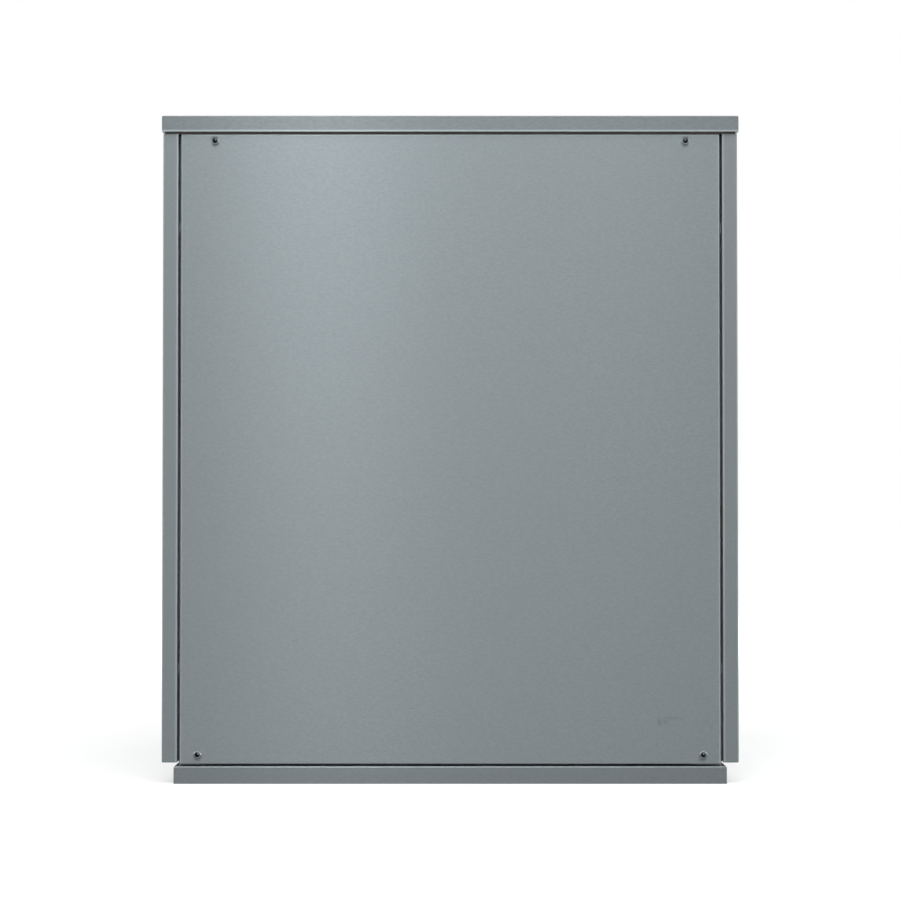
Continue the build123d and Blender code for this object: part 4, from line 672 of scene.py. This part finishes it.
bend_copper = nodes["discharge_lines"].data.materials[0]
shroud_low, shroud_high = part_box("fan_shroud")
front_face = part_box("condenser")[0].y
step_up = (0.0, 0.0, 4 * bend_radius)
right_end = Vector((shroud_high.x, front_face, shroud_low.z + bend_above))
left_end = Vector((shroud_low.x, front_face, shroud_low.z + bend_above))
add_row("right_bends", bend_mesh("right_bend", right_end, 1, 0.0), bend_copper, bend_count, step_up,
        "machine")
add_row("left_bends", bend_mesh("left_bend", left_end, -1, 2 * bend_radius), bend_copper, bend_count - 1,
        step_up, "machine")


# Stage, light and camera

def shown_level(tree, unseen, seen, in_metal):
    """A strength: seen by the camera and clear pieces, in_metal in reflections, unseen as light."""
    path = tree.nodes.new("ShaderNodeLightPath")
    level = unseen
    levels = (("Is Glossy Ray", in_metal), ("Is Transmission Ray", seen), ("Is Camera Ray", seen))
    for name, strength in levels:
        chosen = tree.nodes.new("ShaderNodeMix")
        tree.links.new(path.outputs[name], chosen.inputs["Factor"])
        for socket, value in ((chosen.inputs["A"], level), (chosen.inputs["B"], strength)):
            if isinstance(value, bpy.types.NodeSocket):
                tree.links.new(value, socket)
            else:
                socket.default_value = value
        level = chosen.outputs["Result"]
    return level


def light_room():
    """A white backdrop all round, which is dimmer in metal only straight behind the camera."""
    world = bpy.data.worlds.new("room")
    bpy.context.scene.world = world
    world.use_nodes = True
    tree = world.node_tree
    background = tree.nodes["Background"]
    background.inputs["Color"].default_value = (1.0, 1.0, 1.0, 1.0)
    way = tree.nodes.new("ShaderNodeSeparateXYZ")
    tree.links.new(tree.nodes.new("ShaderNodeTexCoord").outputs["Generated"], way.inputs[0])
    aside = tree.nodes.new("ShaderNodeMath")
    aside.operation = "ABSOLUTE"
    tree.links.new(way.outputs["X"], aside.inputs[0])
    to_rear = ramp(tree, way.outputs["Y"], *dim_room_rear, camera_side_level, side_level)
    to_side = ramp(tree, aside.outputs[0], *dim_room_sides, camera_side_level, side_level)
    either = tree.nodes.new("ShaderNodeMath")
    either.operation = "MAXIMUM"
    tree.links.new(to_rear, either.inputs[0])
    tree.links.new(to_side, either.inputs[1])
    level = shown_level(tree, room_level, white_level, either.outputs[0])
    tree.links.new(level, background.inputs["Strength"])


def floor_material():
    """A white floor with a faint shadow, dimmer in metal ahead of the object, and clear from below."""
    finish = Finish("floor_white")
    finish.set(Base_Color=floor_colour, Roughness=0.9, Specular_IOR_Level=0.0)
    away = finish.node("ShaderNodeVectorMath", operation="LENGTH")
    finish.feed(away.inputs[0], finish.place)
    glow = finish.spread(away.outputs["Value"], floor_near, floor_far, floor_glow, far_floor_glow,
                         smooth=True)
    across, back, _ = finish.axes()
    ahead = finish.spread(back, cad_low.y, cad_low.y + dim_floor_rear, 1.0, 0.0, smooth=True)
    between = finish.spread(finish.calculate("ABSOLUTE", across), *dim_floor_sides, 1.0, 0.0, smooth=True)
    dimmed = finish.calculate("MULTIPLY", ahead, between)
    share = finish.spread(dimmed, 0.0, 1.0, side_floor_in_metal, floor_glow_in_metal)
    in_metal = finish.calculate("MULTIPLY", glow, share)
    shown = shown_level(finish.tree, 0.0, glow, in_metal)
    finish.set(Emission_Color=(1.0, 1.0, 1.0, 1.0), Emission_Strength=shown)
    sides = finish.node("ShaderNodeMixShader")
    under = finish.node("ShaderNodeNewGeometry")
    clear = finish.node("ShaderNodeBsdfTransparent")
    output = finish.tree.nodes["Material Output"]
    finish.tree.links.new(under.outputs["Backfacing"], sides.inputs["Fac"])
    finish.tree.links.new(finish.surface.outputs[0], sides.inputs[1])
    finish.tree.links.new(clear.outputs[0], sides.inputs[2])
    finish.tree.links.new(sides.outputs[0], output.inputs["Surface"])
    return finish.material


def lay_floor():
    """A floor with an opening under the base, so that a view from below shows the underside."""
    tray_low, tray_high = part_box("base_tray")
    edge = Vector((floor_opening_inset, floor_opening_inset, 0.0))
    low = tray_low + edge
    high = tray_high - edge
    half = floor_size / 2
    shape = bmesh.new()
    outer = [shape.verts.new((x * half, y * half, 0.0)) for x, y in floor_corners]
    inner = [shape.verts.new((high.x if x > 0 else low.x, high.y if y > 0 else low.y, 0.0))
             for x, y in floor_corners]
    for i in range(4):
        j = (i + 1) % 4
        shape.faces.new((outer[i], outer[j], inner[j], inner[i]))
    mesh = bpy.data.meshes.new("floor")
    shape.to_mesh(mesh)
    shape.free()
    floor = bpy.data.objects.new("floor", mesh)
    floor.location.z = cad_low.z
    bpy.context.scene.collection.objects.link(floor)
    mesh.materials.append(floor_material())


def hang_lamp(name, place, target, size, power):
    """A soft rectangular lamp, turned to its target."""
    data = bpy.data.lights.new(name, "AREA")
    data.shape = "RECTANGLE"
    data.size, data.size_y = size
    data.energy = power
    lamp = bpy.data.objects.new(name, data)
    lamp.location = place
    lamp.rotation_euler = (Vector(target) - Vector(place)).to_track_quat("-Z", "Y").to_euler()
    bpy.context.scene.collection.objects.link(lamp)


middle = (cad_low + cad_high) / 2
front_middle = Vector((0.0, cad_low.y, middle.z))

lamps = [
    ("softbox_left", (-0.31, -3.3, 2.6), front_middle, (0.35, 0.8), 9.0),
    ("softbox_middle", (0.24, -3.2, 2.3), front_middle, (0.6, 0.8), 3.6),
    ("softbox_top", (0.0, -2.2, 3.6), middle, (3.2, 2.0), 95.0),
    ("softbox_right", (3.0, -0.6, 1.4), middle, (1.4, 1.8), 32.0),
    ("softbox_side", (-3.0, -0.2, 1.4), middle, (1.4, 1.8), 26.0),
    ("softbox_corner_left", (-2.4, -3.4, 1.9), middle, (1.3, 1.6), 21.0),
    ("softbox_corner_right", (2.4, -3.4, 1.9), middle, (1.3, 1.6), 21.0),
    ("softbox_rear", (0.6, 3.4, 1.8), middle, (1.6, 1.6), 34.0),
]


def set_camera():
    data = bpy.data.cameras.new("camera")
    data.sensor_width = sensor_width
    data.lens = sensor_width * camera_distance / (image_pixels * metres_per_pixel)
    data.clip_end = floor_size
    camera = bpy.data.objects.new("camera", data)
    aim = front_middle + Vector((aim_right, 0.0, aim_up))
    drop = camera_distance * tan(radians(camera_tilt_deg))
    camera.location = aim + Vector((0.0, -camera_distance, -drop))
    camera.rotation_euler = (radians(90 + camera_tilt_deg), 0.0, 0.0)
    bpy.context.scene.collection.objects.link(camera)
    bpy.context.scene.camera = camera


light_room()
lay_floor()
for lamp in lamps:
    hang_lamp(*lamp)
set_camera()
bpy.context.scene.view_settings.view_transform = "Standard"
